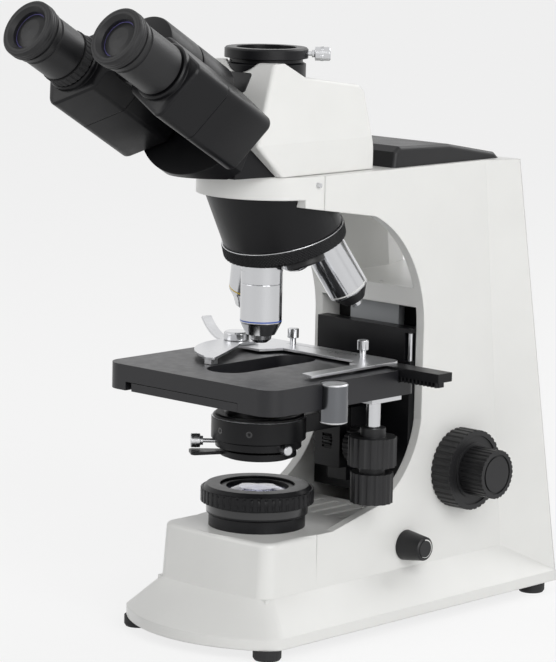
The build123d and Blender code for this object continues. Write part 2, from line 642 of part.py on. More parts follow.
def carriage():
    """Block that carries the stage and the condenser up and down the dovetail."""
    half = COLUMN_HALF - COLUMN_WALL - GAP
    rear = SLAB_FRONT + SLAB_THICKNESS
    slab = block((-half, half), (SLAB_FRONT, rear), (SLAB_FOOT, SLAB_TOP))
    slab -= block((half - 5, half + 1), (SLAB_FRONT - 1, SLAB_FRONT + 5), (STAGE_TOP - 4, SLAB_TOP - 3))
    slab -= cylinder(STOP_ROD, SLAB_TOP, Pos(half - 2, SLAB_FRONT + 2.5, STAGE_TOP - 10))
    slope = (SLIDE_HALF - SLIDE_BACK) / SLIDE_DEPTH
    inner = SLIDE_HALF + 2 * GAP
    depth = SLIDE_DEPTH - GAP
    cheek = Polyline((inner, rear), (CHEEK, rear), (CHEEK, rear + depth), (inner - slope * depth, rear + depth),
                     close=True)
    cheeks = flat_plate(cheek, SLAB_FOOT + 8, SLAB_TOP - 2)
    slab += cheeks + mirror(cheeks, Plane.YZ)
    step = pi * FOCUS_MODULE
    rack_back = FOCUS_Y - FOCUS_MODULE * FOCUS_TEETH / 2 - RACK_DEPTH
    slab += block((RACK_X, RACK_X + RACK_WIDTH), (rear - 1, rack_back),
                  (FOCUS_Z - 5 * step, FOCUS_Z + 4 * step))
    under = STAGE_TOP - STAGE_THICKNESS
    z = (under - BRACKET_THICKNESS, under)
    slab += block((-BRACKET_OUTER, BRACKET_OUTER), (RAIL_FRONT - 8, SLAB_FRONT), z)
    slab += block((-BRACKET_OUTER, -BRACKET_INNER), (BRACKET_FRONT, RAIL_FRONT), z)
    slab += block((BRACKET_INNER, BRACKET_OUTER), (BRACKET_FRONT, RAIL_FRONT), z)
    slab += block((-RAIL_HALF, RAIL_HALF), (RAIL_FRONT, SLAB_FRONT), (RAIL_FOOT, under - BRACKET_THICKNESS))
    slab -= block((-3.9, 3.9), (RAIL_FRONT - 1, RAIL_FRONT + 5), (CONDENSER_Z - 16, CONDENSER_Z + 20))
    rack = toothed_bar(CONDENSER_MODULE, -5, 7, 5, 7.6)
    plane = Plane((-3.8, RAIL_FRONT, CONDENSER_Z), x_dir=(0, 0, 1), z_dir=(1, 0, 0))
    return slab + mirror(Location(plane) * rack, Plane.XZ.offset(-RAIL_FRONT))


def stop_rod():
    half = COLUMN_HALF - COLUMN_WALL - GAP
    return cylinder(STOP_ROD, SLAB_TOP - STAGE_TOP + 10, Pos(half - 2, SLAB_FRONT + 2.5, STAGE_TOP - 10))


def focus_rack():
    rack = toothed_bar(FOCUS_MODULE, -5, 4, RACK_DEPTH, RACK_WIDTH)
    origin = (RACK_X, FOCUS_Y - FOCUS_MODULE * FOCUS_TEETH / 2, FOCUS_Z)
    return Location(Plane(origin, x_dir=(0, 0, 1), z_dir=(1, 0, 0))) * rack


def stage_base():
    """Lower plate of the mechanical stage, fixed to the carriage."""
    under = STAGE_TOP - STAGE_THICKNESS
    top = SEAM - GAP
    plate = block((LOWER_LEFT, LOWER_RIGHT), (STAGE_FRONT + 0.3, STAGE_REAR), (under, top))
    plate += block((-BRACKET_OUTER, BRACKET_OUTER), (STAGE_REAR - 1, LOWER_REAR), (under, top))
    plate -= cylinder(BRACKET_INNER, 20, Pos(0, 0, under - 1))
    pitch = DRIVE_X - DRIVE_MODULE * Y_TEETH / 2
    rack = toothed_bar(DRIVE_MODULE, -11, 8, pitch - LOWER_RIGHT + 0.5, top - under - 1.2)
    plane = Plane((pitch, DRIVE_Y, under + 0.6), x_dir=(0, 1, 0), z_dir=(0, 0, 1))
    return plate + Location(plane) * rack


def stage_plate():
    """Upper plate, which slides front to back over the lower one."""
    under = STAGE_TOP - STAGE_THICKNESS
    plate = block((-STAGE_HALF, STAGE_HALF), (STAGE_FRONT, STAGE_REAR), (under, STAGE_TOP))
    uprights = plate.edges().filter_by(Axis.Z).sort_by(Axis.Y)
    plate = fillet(uprights[:2], STAGE_CORNER)
    plate = fillet(plate.edges().filter_by(Axis.Z).sort_by(Axis.Y)[-2:], STAGE_CORNER / 2)
    left = LOWER_LEFT - 5
    plate -= block((left, LOWER_RIGHT + GAP), (STAGE_FRONT - 1, STAGE_REAR + 1), (under - 1, SEAM))
    rack_side = DRIVE_X - DRIVE_MODULE * (Y_TEETH / 2 - 0.8) + GAP
    plate -= block((LOWER_RIGHT, rack_side), (DRIVE_Y - 70, STAGE_REAR + 1), (under - 1, SEAM))
    length = SLOT_REAR - SLOT_FRONT
    slot = Pos(0, (SLOT_REAR + SLOT_FRONT) / 2, SEAM - 1) * Rot(0, 0, 90) * extrude(
        SlotOverall(length, SLOT_WIDTH), STAGE_TOP)
    plate -= slot
    # Rebate for the guide bar, and the pocket of the drive pinions
    rack_foot = BAR_TOP - BAR_HEIGHT - X_RACK_HEIGHT
    plate -= block((-STAGE_HALF - 1, STAGE_HALF + 1), (BAR_FRONT - GAP, STAGE_REAR + 1),
                   (rack_foot - GAP, STAGE_TOP + 1))
    pinion = DRIVE_MODULE * (X_TEETH / 2 + 0.8) + GAP
    plate -= cylinder(pinion, BAR_TOP - BAR_HEIGHT - under + GAP, Pos(DRIVE_X, DRIVE_Y, under - GAP))
    plate -= cylinder(POST_SIDE + SEAT, STAGE_THICKNESS + 2, Pos(POST_X, POST_Y, under - 1))
    return plate


def stage_posts():
    """Side post and the drive column under the plate."""
    under = STAGE_TOP - STAGE_THICKNESS
    post = turned((0, POST_FOOT), (POST_SIDE - 0.6, POST_FOOT), (POST_SIDE, POST_FOOT + 0.6),
                  (POST_SIDE, STAGE_TOP - 1.2), (POST_SIDE - 0.6, STAGE_TOP - 0.6), (0, STAGE_TOP - 0.6))
    post = Pos(POST_X, POST_Y, 0) * post
    plate = block((DRIVE_X - 7, STAGE_HALF - 1.5), (DRIVE_Y - 14, DRIVE_Y + 14), (under - DRIVE_PLATE, under))
    column = cylinder(DRIVE_COLUMN, under - COLLAR_TOP - GAP, Pos(DRIVE_X, DRIVE_Y, COLLAR_TOP + GAP))
    column = plate + column - cylinder(DRIVE_TUBE + RUN, 60, Pos(DRIVE_X, DRIVE_Y, COLLAR_TOP - 5))
    return [post, column]


def y_drive_knob():
    """Upper stage knob on a tube, with the pinion that climbs the lower plate's rack."""
    under = STAGE_TOP - STAGE_THICKNESS
    knob = fluted(Y_KNOB_RADIUS, Y_KNOB_TOP - Y_KNOB_FOOT, 12, 4, 0.9, Pos(DRIVE_X, DRIVE_Y, Y_KNOB_FOOT))
    knob += cylinder(COLLAR_RADIUS, COLLAR_TOP - Y_KNOB_TOP, Pos(DRIVE_X, DRIVE_Y, Y_KNOB_TOP))
    wheel = toothed_wheel(DRIVE_MODULE, Y_TEETH, SEAM - GAP - under - 2.4)
    knob += cylinder(DRIVE_TUBE, SEAM - COLLAR_TOP, Pos(DRIVE_X, DRIVE_Y, COLLAR_TOP - 1))
    knob += Pos(DRIVE_X, DRIVE_Y, under + 1.2) * Rot(0, 0, 180) * wheel
    return knob - cylinder(DRIVE_SHAFT + RUN, 80, Pos(DRIVE_X, DRIVE_Y, Y_KNOB_FOOT - 1))


def x_drive_knob():
    """Lower stage knob on the inner shaft, with the pinion of the guide bar's rack."""
    foot = BAR_TOP - BAR_HEIGHT - X_RACK_HEIGHT
    knob = fluted(X_KNOB_RADIUS, X_KNOB_TOP - X_KNOB_FOOT, 16, 3, 0.7, Pos(DRIVE_X, DRIVE_Y, X_KNOB_FOOT))
    knob += cylinder(COLLAR_RADIUS, Y_KNOB_FOOT - X_KNOB_TOP - GAP, Pos(DRIVE_X, DRIVE_Y, X_KNOB_TOP))
    knob += cylinder(DRIVE_SHAFT, foot + 2 - X_KNOB_TOP, Pos(DRIVE_X, DRIVE_Y, X_KNOB_TOP))
    wheel = toothed_wheel(DRIVE_MODULE, X_TEETH, X_RACK_HEIGHT - 0.4)
    return knob + Pos(DRIVE_X, DRIVE_Y, foot + 0.2) * Rot(0, 0, 90) * wheel


def x_bar():
    """Guide bar behind the stage with the rack under it."""
    bar = block((BAR_LEFT, BAR_RIGHT), (BAR_FRONT, BAR_REAR), (BAR_TOP - BAR_HEIGHT, BAR_TOP))
    pitch = DRIVE_Y + DRIVE_MODULE * X_TEETH / 2
    rack = toothed_bar(DRIVE_MODULE, -14, 14, 6, X_RACK_HEIGHT)
    bar += Pos(DRIVE_X, pitch, BAR_TOP - BAR_HEIGHT - X_RACK_HEIGHT) * rack
    for place in holder_screw_places():
        bar -= cylinder(SCREW_SHANK, 4, place * Pos(0, 0, BAR_TOP - 3))
    return bar


def slide_holder():
    """Steel holder with its fixed arm to the right of the slide."""
    rear = BAR_REAR + 1.5
    outline = [Line((-60, 28), (-60, rear)), Line((-60, rear), (ARM_RIGHT - 8, rear)),
               ThreePointArc((ARM_RIGHT - 8, rear), (ARM_RIGHT - 2.3, rear - 2.3), (ARM_RIGHT, rear - 8)),
               Line((ARM_RIGHT, rear - 8), (ARM_RIGHT, ARM_FRONT)),
               Line((ARM_RIGHT, ARM_FRONT), (ARM_LEFT, ARM_FRONT + 3)),
               Line((ARM_LEFT, ARM_FRONT + 3), (ARM_LEFT, HOLDER_FRONT - 9)),
               Line((ARM_LEFT, HOLDER_FRONT - 9), (ARM_LEFT - 6, HOLDER_FRONT - 9)),
               Line((ARM_LEFT - 6, HOLDER_FRONT - 9), (ARM_LEFT - 11, HOLDER_FRONT)),
               Line((ARM_LEFT - 11, HOLDER_FRONT), (-20, HOLDER_FRONT)),
               Line((-20, HOLDER_FRONT), (-27, 28)), Line((-27, 28), (-60, 28))]
    plate = flat_plate(outline, BAR_TOP, BAR_TOP + HOLDER_THICKNESS)
    for place in holder_screw_places():
        plate -= cylinder(SCREW_SHANK, 20, place * Pos(0, 0, BAR_TOP - 5))
    return plate - cylinder(PIN, 20, Pos(CLIP_X, CLIP_Y + 5, BAR_TOP - 1))


def holder_screw_places():
    return [Pos(x, (BAR_FRONT + BAR_REAR) / 2, 0) for x in (-25, 36)]


def holder_screws():
    """Two thumbscrews into the bar and the clip's knurled pivot knob."""
    top = BAR_TOP + HOLDER_THICKNESS
    grip = HOLDER_THICKNESS + 3
    screw = turned((0, -grip), (SCREW_SHANK, -grip), (SCREW_SHANK, 0), (2, 0), (2, 4), (3.75, 4.8), (3.75, 10.5), (3.2, 11), (0, 11))
    knob_foot = top + JAW_THICKNESS + 2 * GAP
    knob = turned((0, 0), (CLIP_KNOB, 0), (CLIP_KNOB, 4.2), (CLIP_KNOB - 1, 5.4), (0, 5.4))
    pivot = cylinder(PIN, knob_foot - BAR_TOP, Pos(CLIP_X, CLIP_Y + 5, BAR_TOP))
    knob = Pos(CLIP_X, CLIP_Y + 5, knob_foot) * knob + pivot
    return [place * Pos(0, 0, top) * screw for place in holder_screw_places()] + [knob]


def clip_jaw():
    """Sprung finger that presses the slide against the fixed arm."""
    foot = BAR_TOP + HOLDER_THICKNESS + GAP
    y = CLIP_Y + 5
    outline = [Line((CLIP_X - 9, y - 6), (CLIP_X - 9, y + 8)), Line((CLIP_X - 9, y + 8), (CLIP_X + 12, y + 8)),
               Line((CLIP_X + 12, y + 8), (CLIP_X + 12, y - 9)),
               ThreePointArc((CLIP_X + 12, y - 9), (-30, 4), (-15, -26)),
               ThreePointArc((-15, -26), (-19, -29), (-24, -26)),
               ThreePointArc((-24, -26), (-52, -6), (CLIP_X - 9, y - 6))]
    jaw = flat_plate(outline, foot, foot + JAW_THICKNESS)
    jaw += block((-23, -17), (-27, -21), (STAGE_TOP + GAP, foot + 0.1))
    lever = side_plate([ThreePointArc((0, foot), (14, foot + 2), (30, foot + 11)),
                        Line((30, foot + 11), (29, foot + 12.4)),
                        ThreePointArc((29, foot + 12.4), (13.4, foot + 3.5), (0, foot + JAW_THICKNESS)),
                        Line((0, foot + JAW_THICKNESS), (0, foot))], -3.5, 3.5)
    jaw += Pos(CLIP_X - 8, y - 2, 0) * Rot(0, 0, 70) * lever
    return jaw - cylinder(PIN + RUN, 20, Pos(CLIP_X, y, foot - 5))


def condenser_carrier():
    """Arm with the ring that holds the condenser, sliding on the carriage's rail."""
    ring = tube(RING_RADIUS, CONDENSER_BODY + SEAT, RING_TOP - RING_FOOT, Pos(0, 0, RING_FOOT))
    front = RAIL_FRONT - GAP
    arm = block((-11, 11), (CONDENSER_BODY + 2, front), (RING_FOOT, RING_TOP - 2))
    plate = block((-11, 11), (front - 10, front), (98, RING_TOP - 2))
    side = RAIL_HALF + GAP
    cheek = block((side, side + 4), (front - 1, front + 12), (98, RING_TOP - 2))
    carrier = ring + arm + plate + cheek + mirror(cheek, Plane.YZ)
    carrier -= cylinder(KNOB_SHAFT + RUN, 60, Pos(-20, condenser_shaft_y(), CONDENSER_Z) * ALONG_X)
    pinion = CONDENSER_MODULE * (CONDENSER_TEETH / 2 + 0.8) + GAP
    carrier -= cylinder(pinion, 8.4, Pos(-4.2, condenser_shaft_y(), CONDENSER_Z) * ALONG_X)
    carrier -= block((-4.2, 4.2), (RAIL_FRONT - CONDENSER_MODULE - 2 * GAP, RAIL_FRONT), (90, RING_TOP + 1))
    carrier -= cylinder(CONDENSER_BODY + SEAT, 40, Pos(0, 0, RING_FOOT - 1))
    return carrier - cylinder(1.5, 20, Rot(0, 0, -135) * Pos(0, 0, 133) * ALONG_X * Pos(0, 0, 22))


def condenser_shaft_y():
    return RAIL_FRONT - CONDENSER_MODULE * CONDENSER_TEETH / 2


def condenser_body():
    """Condenser barrel with its silver top ring and lower flange."""
    return turned((10, LEVER_Z - 3), (21, LEVER_Z - 3), (21, LEVER_Z - 2), (19, LEVER_Z - 2), (19, LEVER_Z + 2.5),
                  (21, LEVER_Z + 2.5), (21, LEVER_Z + 3), (CONDENSER_FLANGE, LEVER_Z + 4),
                  (CONDENSER_FLANGE, RING_FOOT - 1), (CONDENSER_BODY, RING_FOOT),
                  (CONDENSER_BODY, RING_TOP), (29, RING_TOP), (29, RING_TOP + 1.6), (27.6, RING_TOP + 2.6),
                  (22, RING_TOP + 2.6), (TOP_LENS + 2, RING_TOP + 9), (TOP_LENS, RING_TOP + 10),
                  (TOP_LENS, TOP_LENS_Z - 1), (10, TOP_LENS_Z - 1))


def condenser_lens():
    return turned((0, TOP_LENS_Z - 9), (10 - SEAT, TOP_LENS_Z - 9), (10 - SEAT, TOP_LENS_Z - 2), (6, TOP_LENS_Z - 0.6),
                  (0, TOP_LENS_Z))


def condenser_screws():
    """Centring thumbscrew at the front left and the clamp screw on the right."""
    thumb = turned((0, 0), (1.4, 0), (1.4, 8), (3, 8), (3, 9.5), (4.5, 10), (4.5, 15.5), (4, 16), (0, 16))
    left = Rot(0, 0, -135) * Pos(0, 0, LEVER_Z + 6.5) * ALONG_X * Pos(0, 0, CONDENSER_FLANGE - 0.2) * thumb
    short = turned((0, 0), (3.2, 0), (3.2, 6), (2.6, 6.5), (0, 6.5))
    right = Rot(0, 0, -12) * Pos(0, 0, LEVER_Z + 6.0) * ALONG_X * Pos(0, 0, CONDENSER_FLANGE - 0.2) * short
    cut = cylinder(CONDENSER_FLANGE, 20, Pos(0, 0, 110))
    return [left - cut, right - cut]


def aperture_lever():
    """Ring of the aperture diaphragm with its flat lever."""
    ring = tube(24.5, 19 + 2 * RUN, 3.7, Pos(0, 0, LEVER_Z - 1.6))
    lever = flat_plate(Polyline((22, -4), (42, -7), (44, -5), (44, 5), (42, 7), (22, 4), close=True),
                       LEVER_Z - 0.8, LEVER_Z + 1.2)
    return ring + Rot(0, 0, -127) * lever


def condenser_knob():
    """Height knob with its shaft and pinion."""
    y = condenser_shaft_y()
    knob = fluted(CONDENSER_KNOB, 8, 24, 1, 0.6, Pos(20, y, CONDENSER_Z) * ALONG_X)
    knob -= tube(CONDENSER_KNOB - 2, CONDENSER_KNOB - 4, 2, Pos(27.2, y, CONDENSER_Z) * ALONG_X)
    knob += cylinder(KNOB_SHAFT, 36, Pos(-15, y, CONDENSER_Z) * ALONG_X)
    wheel = toothed_wheel(CONDENSER_MODULE, CONDENSER_TEETH, 7)
    plane = Plane((-3.5, y, CONDENSER_Z), x_dir=(0, 1, 0), z_dir=(1, 0, 0))
    return knob + Location(plane) * wheel


def station(index):
    """Frame on the shoulder of one objective, Z pointing down its axis; index 0 is in use."""
    turn = -360 * index / STATIONS
    return TURRET * Rot(0, 0, turn) * Pos(0, SEAT_CIRCLE, 0) * Rot(-TILT, 0, 0)


def cone_rise(radius):
    """Height of the turret's conical face above the seat circle, at a radius."""
    return (radius - SEAT_CIRCLE) * tan(radians(TILT))


def nosepiece_housing():
    """Fixed cone under the arm, cut square to the turret's axis."""
    face = -cone_rise(TURRET_RADIUS) - TURRET_BAND - GAP
    bottom = TURRET * Pos(0, 0, face) * Circle(TURRET_RADIUS - 1)
    top = Pos(0, NOSE_CENTRE - 1, ARM_UNDER) * Circle(40.5)
    cone = loft([top, bottom], ruled=True)
    cone -= side_plate(Polyline((NOSE_STEP_Y - SEAT, NOSE_STEP - SEAT), (NOSE_HOOK_Y, NOSE_HOOK - SEAT),
                                (90, NOSE_HOOK - 10), (90, 330), (NOSE_STEP_Y - SEAT, 330), close=True), -60, 60)
    cone += cylinder(STUD, 22, TURRET * Pos(0, 0, face - 1))
    return cone - cylinder(11, 90, Pos(0, 0, SHOULDER_Z + 16))


def turret():
    """Revolving disc with a knurled band and five threaded seats."""
    band_foot = -cone_rise(TURRET_RADIUS)
    disc = TURRET * turned((0, band_foot - TURRET_BAND), (TURRET_RADIUS - 1, band_foot - TURRET_BAND),
                           (TURRET_RADIUS - 1, band_foot), (0, cone_rise(SEAT_CIRCLE) - cone_rise(0) * 0 + 0))
    knurl = fluted(TURRET_RADIUS, TURRET_BAND - 0.8, 60, 1, 0.6,
                   TURRET * Pos(0, 0, band_foot - TURRET_BAND + 0.4))
    disc = disc + (knurl - cylinder(TURRET_RADIUS - 3, 30, TURRET * Pos(0, 0, -20)))
    for index in range(STATIONS):
        disc += cylinder(OBJECTIVE_RADIUS + 0.6, 5, station(index) * Pos(0, 0, -5))
    for index in range(STATIONS):
        disc -= cylinder(OBJECTIVE_RADIUS + 2, 12, station(index))
        disc -= cylinder(THREAD_RADIUS, THREAD_LENGTH + 0.5, station(index) * Pos(0, 0, -THREAD_LENGTH - 0.5))
        disc -= cylinder(BEAM, 30, station(index) * Pos(0, 0, -25))
    return disc - cylinder(STUD + RUN, 60, TURRET * Pos(0, 0, -30))


def objective(index, profile, lens_radius):
    """Objective barrel from points of radius and distance below the shoulder."""
    length = profile[-1][1]
    barrel = turned((0, -THREAD_LENGTH), (THREAD_RADIUS - SEAT, -THREAD_LENGTH), (THREAD_RADIUS - SEAT, 0),
                    *profile, (0, length))
    barrel -= cylinder(BEAM - 1, length - 4 + THREAD_LENGTH, Pos(0, 0, -THREAD_LENGTH - 1))
    barrel -= cylinder(lens_radius, 10, Pos(0, 0, length - 5))
    return station(index) * barrel


def front_lens(index, length, radius):
    lens = turned((0, length - 3.5), (radius - SEAT, length - 3.5), (radius - SEAT, length - 0.6), (0, length - 0.2))
    return station(index) * lens


def dust_plug():
    """Black plug in the free seat."""
    plug = turned((0, -THREAD_LENGTH), (THREAD_RADIUS - SEAT, -THREAD_LENGTH), (THREAD_RADIUS - SEAT, 0),
                  (12.5, 0), (12.5, 3), (11.5, 4), (0, 4))
    return station(1) * plug


def head_housing():
    """White prism housing: trapezoid in front view, with a face square to the tubes."""
    lean = radians(INCLINE)
    foot = (-HUB_FACE * cos(lean), PIVOT_Z + HUB_FACE * sin(lean))
    low = (foot[0] - (foot[1] - 318) * tan(lean), 318.0)
    high = (foot[0] + (HEAD_TOP - foot[1]) * tan(lean), HEAD_TOP)
    outline = Polyline((-26, HEAD_BOTTOM), low, high, (-12.3, HEAD_TOP), (3.4, HEAD_TOP - 8.7), (52, PORT_SEAT + 4.5),
                       (HEAD_REAR, PORT_SEAT - 2), (HEAD_REAR, HEAD_BOTTOM), close=True)
    body = side_plate(outline, -HEAD_HALF, HEAD_HALF)
    front = Plane.XZ * make_face(Polyline((-HEAD_HALF, HEAD_BOTTOM - 1), (-HEAD_HALF, 318), (-27, HEAD_TOP + 1),
                                          (27, HEAD_TOP + 1), (HEAD_HALF, 318), (HEAD_HALF, HEAD_BOTTOM - 1),
                                          close=True))
    body &= extrude(Pos(0, -80, 0) * front, 200, dir=(0, 1, 0))
    long_edges = body.edges().filter_by(lambda e: e.length > 25 and e.center().Z > HEAD_BOTTOM + 5)
    body = fillet(long_edges, 2.5)
    body -= cylinder(PORT_TUBE + SEAT, 60, Pos(0, 0, PORT_SEAT))
    body -= block((-16, 16), (-16, 18), (HEAD_BOTTOM + PRISM_SEAT, 335))
    body -= cylinder(14, 80, Pos(0, 0, 300))
    body -= cylinder(12, 80, TUBES * Pos(0, 0, 0))
    return body - cylinder(DOVETAIL + 3, 4, Pos(0, 0, HEAD_BOTTOM - 1))


def head_base():
    """Dovetail in the arm, the black lower housing and the barrel that the wings turn on."""
    disc = turned((DOVETAIL - 7, ARM_TOP - 5), (DOVETAIL - 1, ARM_TOP - 5), (DOVETAIL, ARM_TOP - 2),
                  (DOVETAIL, HEAD_BOTTOM), (DOVETAIL + 3 - SEAT, HEAD_BOTTOM), (DOVETAIL + 3 - SEAT, HEAD_BOTTOM + 3 - SEAT),
                  (DOVETAIL - 7, HEAD_BOTTOM + 3 - SEAT))
    shell = TUBES * Pos(0, 0, HUB_FACE) * (
        extrude(Circle(52) & Pos(0, -40) * RectangleRounded(70, 60, 8), WING_FOOT - HUB_FACE - 1))
    shell &= block((-60, 60), (-120, 0), (HEAD_BOTTOM, 400))
    plate = flat_plate(Polyline((-34, -26.5), (34, -26.5), (30, -58), (-30, -58), close=True), HEAD_BOTTOM, 318)
    lean = radians(INCLINE)
    plate &= side_plate(Polyline((-60, HEAD_BOTTOM), (-26.2, HEAD_BOTTOM),
                                 (-HUB_FACE * cos(lean) - (PIVOT_Z + HUB_FACE * sin(lean) - 317.9) * tan(lean), 317.9),
                                 (-70, 317.9), close=True), -40, 40)
    rim = cylinder(HEAD_DISC, 3.4, Pos(0, 0, HEAD_BOTTOM)) & block((-50, 50), (-50, -32), (HEAD_BOTTOM, HEAD_BOTTOM + 4))
    hub = cylinder(HUB_RADIUS, WING_FOOT - HUB_FACE - GAP, TUBES * Pos(0, 0, HUB_FACE))
    barrel = cylinder(BARREL_RADIUS, 2 * KNUCKLE + 2 * GAP + 2, TUBES * Pos(0, 0, WING_FOOT - GAP - 0.1))
    cap = cylinder(HUB_RADIUS, 4, TUBES * Pos(0, 0, WING_FOOT + 2 * KNUCKLE + 2 * GAP))
    return [disc, shell + plate + rim + hub + barrel + cap - cylinder(5, 60, TUBES * Pos(0, 0, HUB_FACE - 1))]


def prisms():
    """Beam splitter block over the dovetail."""
    return block((-13, 13), (-13, 13), (HEAD_BOTTOM + PRISM_SEAT, HEAD_BOTTOM + PRISM_SEAT + 26))


def phototube():
    """Camera tube with its dovetail flange."""
    profile = turned((PORT_BORE, PORT_SEAT), (PORT_TUBE, PORT_SEAT), (PORT_TUBE, PORT_TOP - 10),
                     (PORT_TUBE - 2, PORT_TOP - 9), (PORT_TUBE - 2, PORT_TOP - 7), (PORT_FLANGE, PORT_TOP - 6.5),
                     (PORT_FLANGE, PORT_TOP - 1), (PORT_FLANGE - 1, PORT_TOP), (PORT_BORE, PORT_TOP))
    return profile - cylinder(1.6, 20, Rot(0, 0, PORT_SCREW_TURN) * Pos(0, 0, PORT_TOP - 3.7) * ALONG_X * Pos(0, 0, 15))


def port_screw():
    """Thumbscrew that clamps a camera adapter."""
    screw = turned((0, 0), (1.5, 0), (1.5, 9), (2.4, 9), (2.4, 10.5), (4.4, 11), (4.4, 20), (3.8, 20.6), (0, 20.6))
    return Rot(0, 0, PORT_SCREW_TURN) * Pos(0, 0, PORT_TOP - 3.7) * ALONG_X * Pos(0, 0, PORT_BORE + 0.5) * screw


def wing(side):
    """Tube housing with a hub knuckle; side is 1 for the right and -1 for the left."""
    turn = -WING_DROP if side > 0 else 180 + WING_DROP
    frame = TUBES * Rot(0, 0, turn)
    foot = WING_FOOT if side > 0 else WING_FOOT + KNUCKLE + GAP
    housing = cylinder(WING_RADIUS, WING_TOP - WING_FOOT, Pos(ARM_RHO, 0, WING_FOOT))
    housing = fillet(housing.edges().filter_by(GeomType.CIRCLE), 3)
    rho, r1, r2 = ARM_RHO, HUB_RADIUS, WING_RADIUS
    lean = (r2 - r1) / rho
    side_cos, side_sin = -lean, sqrt(1 - lean * lean)
    web = make_face(Polyline((r1 * side_cos, r1 * side_sin), (rho + r2 * side_cos, r2 * side_sin),
                             (rho + r2 * side_cos, -r2 * side_sin), (r1 * side_cos, -r1 * side_sin), close=True))
    web = extrude(Pos(0, 0, foot) * web, KNUCKLE, dir=(0, 0, 1)) + cylinder(HUB_RADIUS, KNUCKLE, Pos(0, 0, foot))
    web &= cylinder(rho + 4, 200)
    tube_neck = cylinder(NECK_RADIUS, 4, Pos(ARM_RHO, 0, WING_TOP - 0.1))
    body = housing + web + tube_neck
    body -= cylinder(SLEEVE + SEAT, 60, Pos(ARM_RHO, 0, WING_TOP - 24))
    body -= cylinder(8, 60, Pos(ARM_RHO, 0, WING_FOOT + 12))
    return frame * (body - cylinder(BARREL_RADIUS + RUN, 80, Pos(0, 0, WING_FOOT - 5)))


def eyepiece_frame(side):
    turn = -WING_DROP if side > 0 else 180 + WING_DROP
    return TUBES * Rot(0, 0, turn) * Pos(ARM_RHO, 0, 0)


def eyepiece(side):
    """Wide eyepiece with a rubber rim; its sleeve sits in the tube."""
    foot = WING_TOP + 4 if side > 0 else WING_TOP + 4 + DIOPTER_WIDTH + 0.4
    top = EYEPIECE_TOP
    body = turned((9, foot - 22), (SLEEVE, foot - 22), (SLEEVE, foot), (EYEPIECE_BARREL - 1, foot),
                  (EYEPIECE_BARREL, foot + 1), (EYEPIECE_BARREL, top - 15), (EYEPIECE_BARREL - 0.8, top - 14.5),
                  (EYEPIECE_BARREL - 0.8, top - 12.5), (EYEPIECE_BARREL + 0.6, top - 12),
                  (EYEPIECE_BARREL + 0.6, top - 9.5), (EYEPIECE_BARREL - 0.4, top - 9),
                  (EYEPIECE_BARREL - 0.4, top - 7.5), (EYEPIECE_RIM, top - 7), (EYEPIECE_RIM, top - 0.8),
                  (EYEPIECE_RIM - 0.8, top), (EYE_LENS + 2.5, top), (EYE_LENS, top - 2.5), (EYE_LENS, top - 8),
                  (9, top - 8))
    return eyepiece_frame(side) * body


def eye_lens(side):
    top = EYEPIECE_TOP
    lens = turned((0, top - 8), (EYE_LENS - SEAT, top - 8), (EYE_LENS - SEAT, top - 5), (EYE_LENS * 0.6, top - 3.4),
                  (0, top - 2.8))
    return eyepiece_frame(side) * lens


def diopter_ring():
    foot = WING_TOP + 4 + 0.2
    ring = fluted(EYEPIECE_BARREL + 0.8, DIOPTER_WIDTH, 30, 1, 0.5, Pos(0, 0, foot))
    return eyepiece_frame(-1) * (ring - cylinder(SLEEVE + 2 * RUN, 20, Pos(0, 0, foot - 1)))


HIGH = [(OBJECTIVE_RADIUS, 0), (OBJECTIVE_RADIUS, 11), (OBJECTIVE_RADIUS - 0.3, 11.3), (OBJECTIVE_RADIUS, 11.6),
        (OBJECTIVE_RADIUS, 36), (12.9, 37), (9.3, 44), (7.2, 44.4), (6.8, 47), (4.2, 49.2)]
OIL = [(OBJECTIVE_RADIUS, 0), (OBJECTIVE_RADIUS, 37), (12.6, 38), (7.5, 45.5), (4.5, 46), (3.6, 49.4)]
MIDDLE = [(OBJECTIVE_RADIUS, 0), (OBJECTIVE_RADIUS, 27), (12.8, 28), (10, 33), (8.4, 38)]
LOW = [(12.8, 0), (12.8, 9), (11, 11), (11, 19), (9.6, 21)]

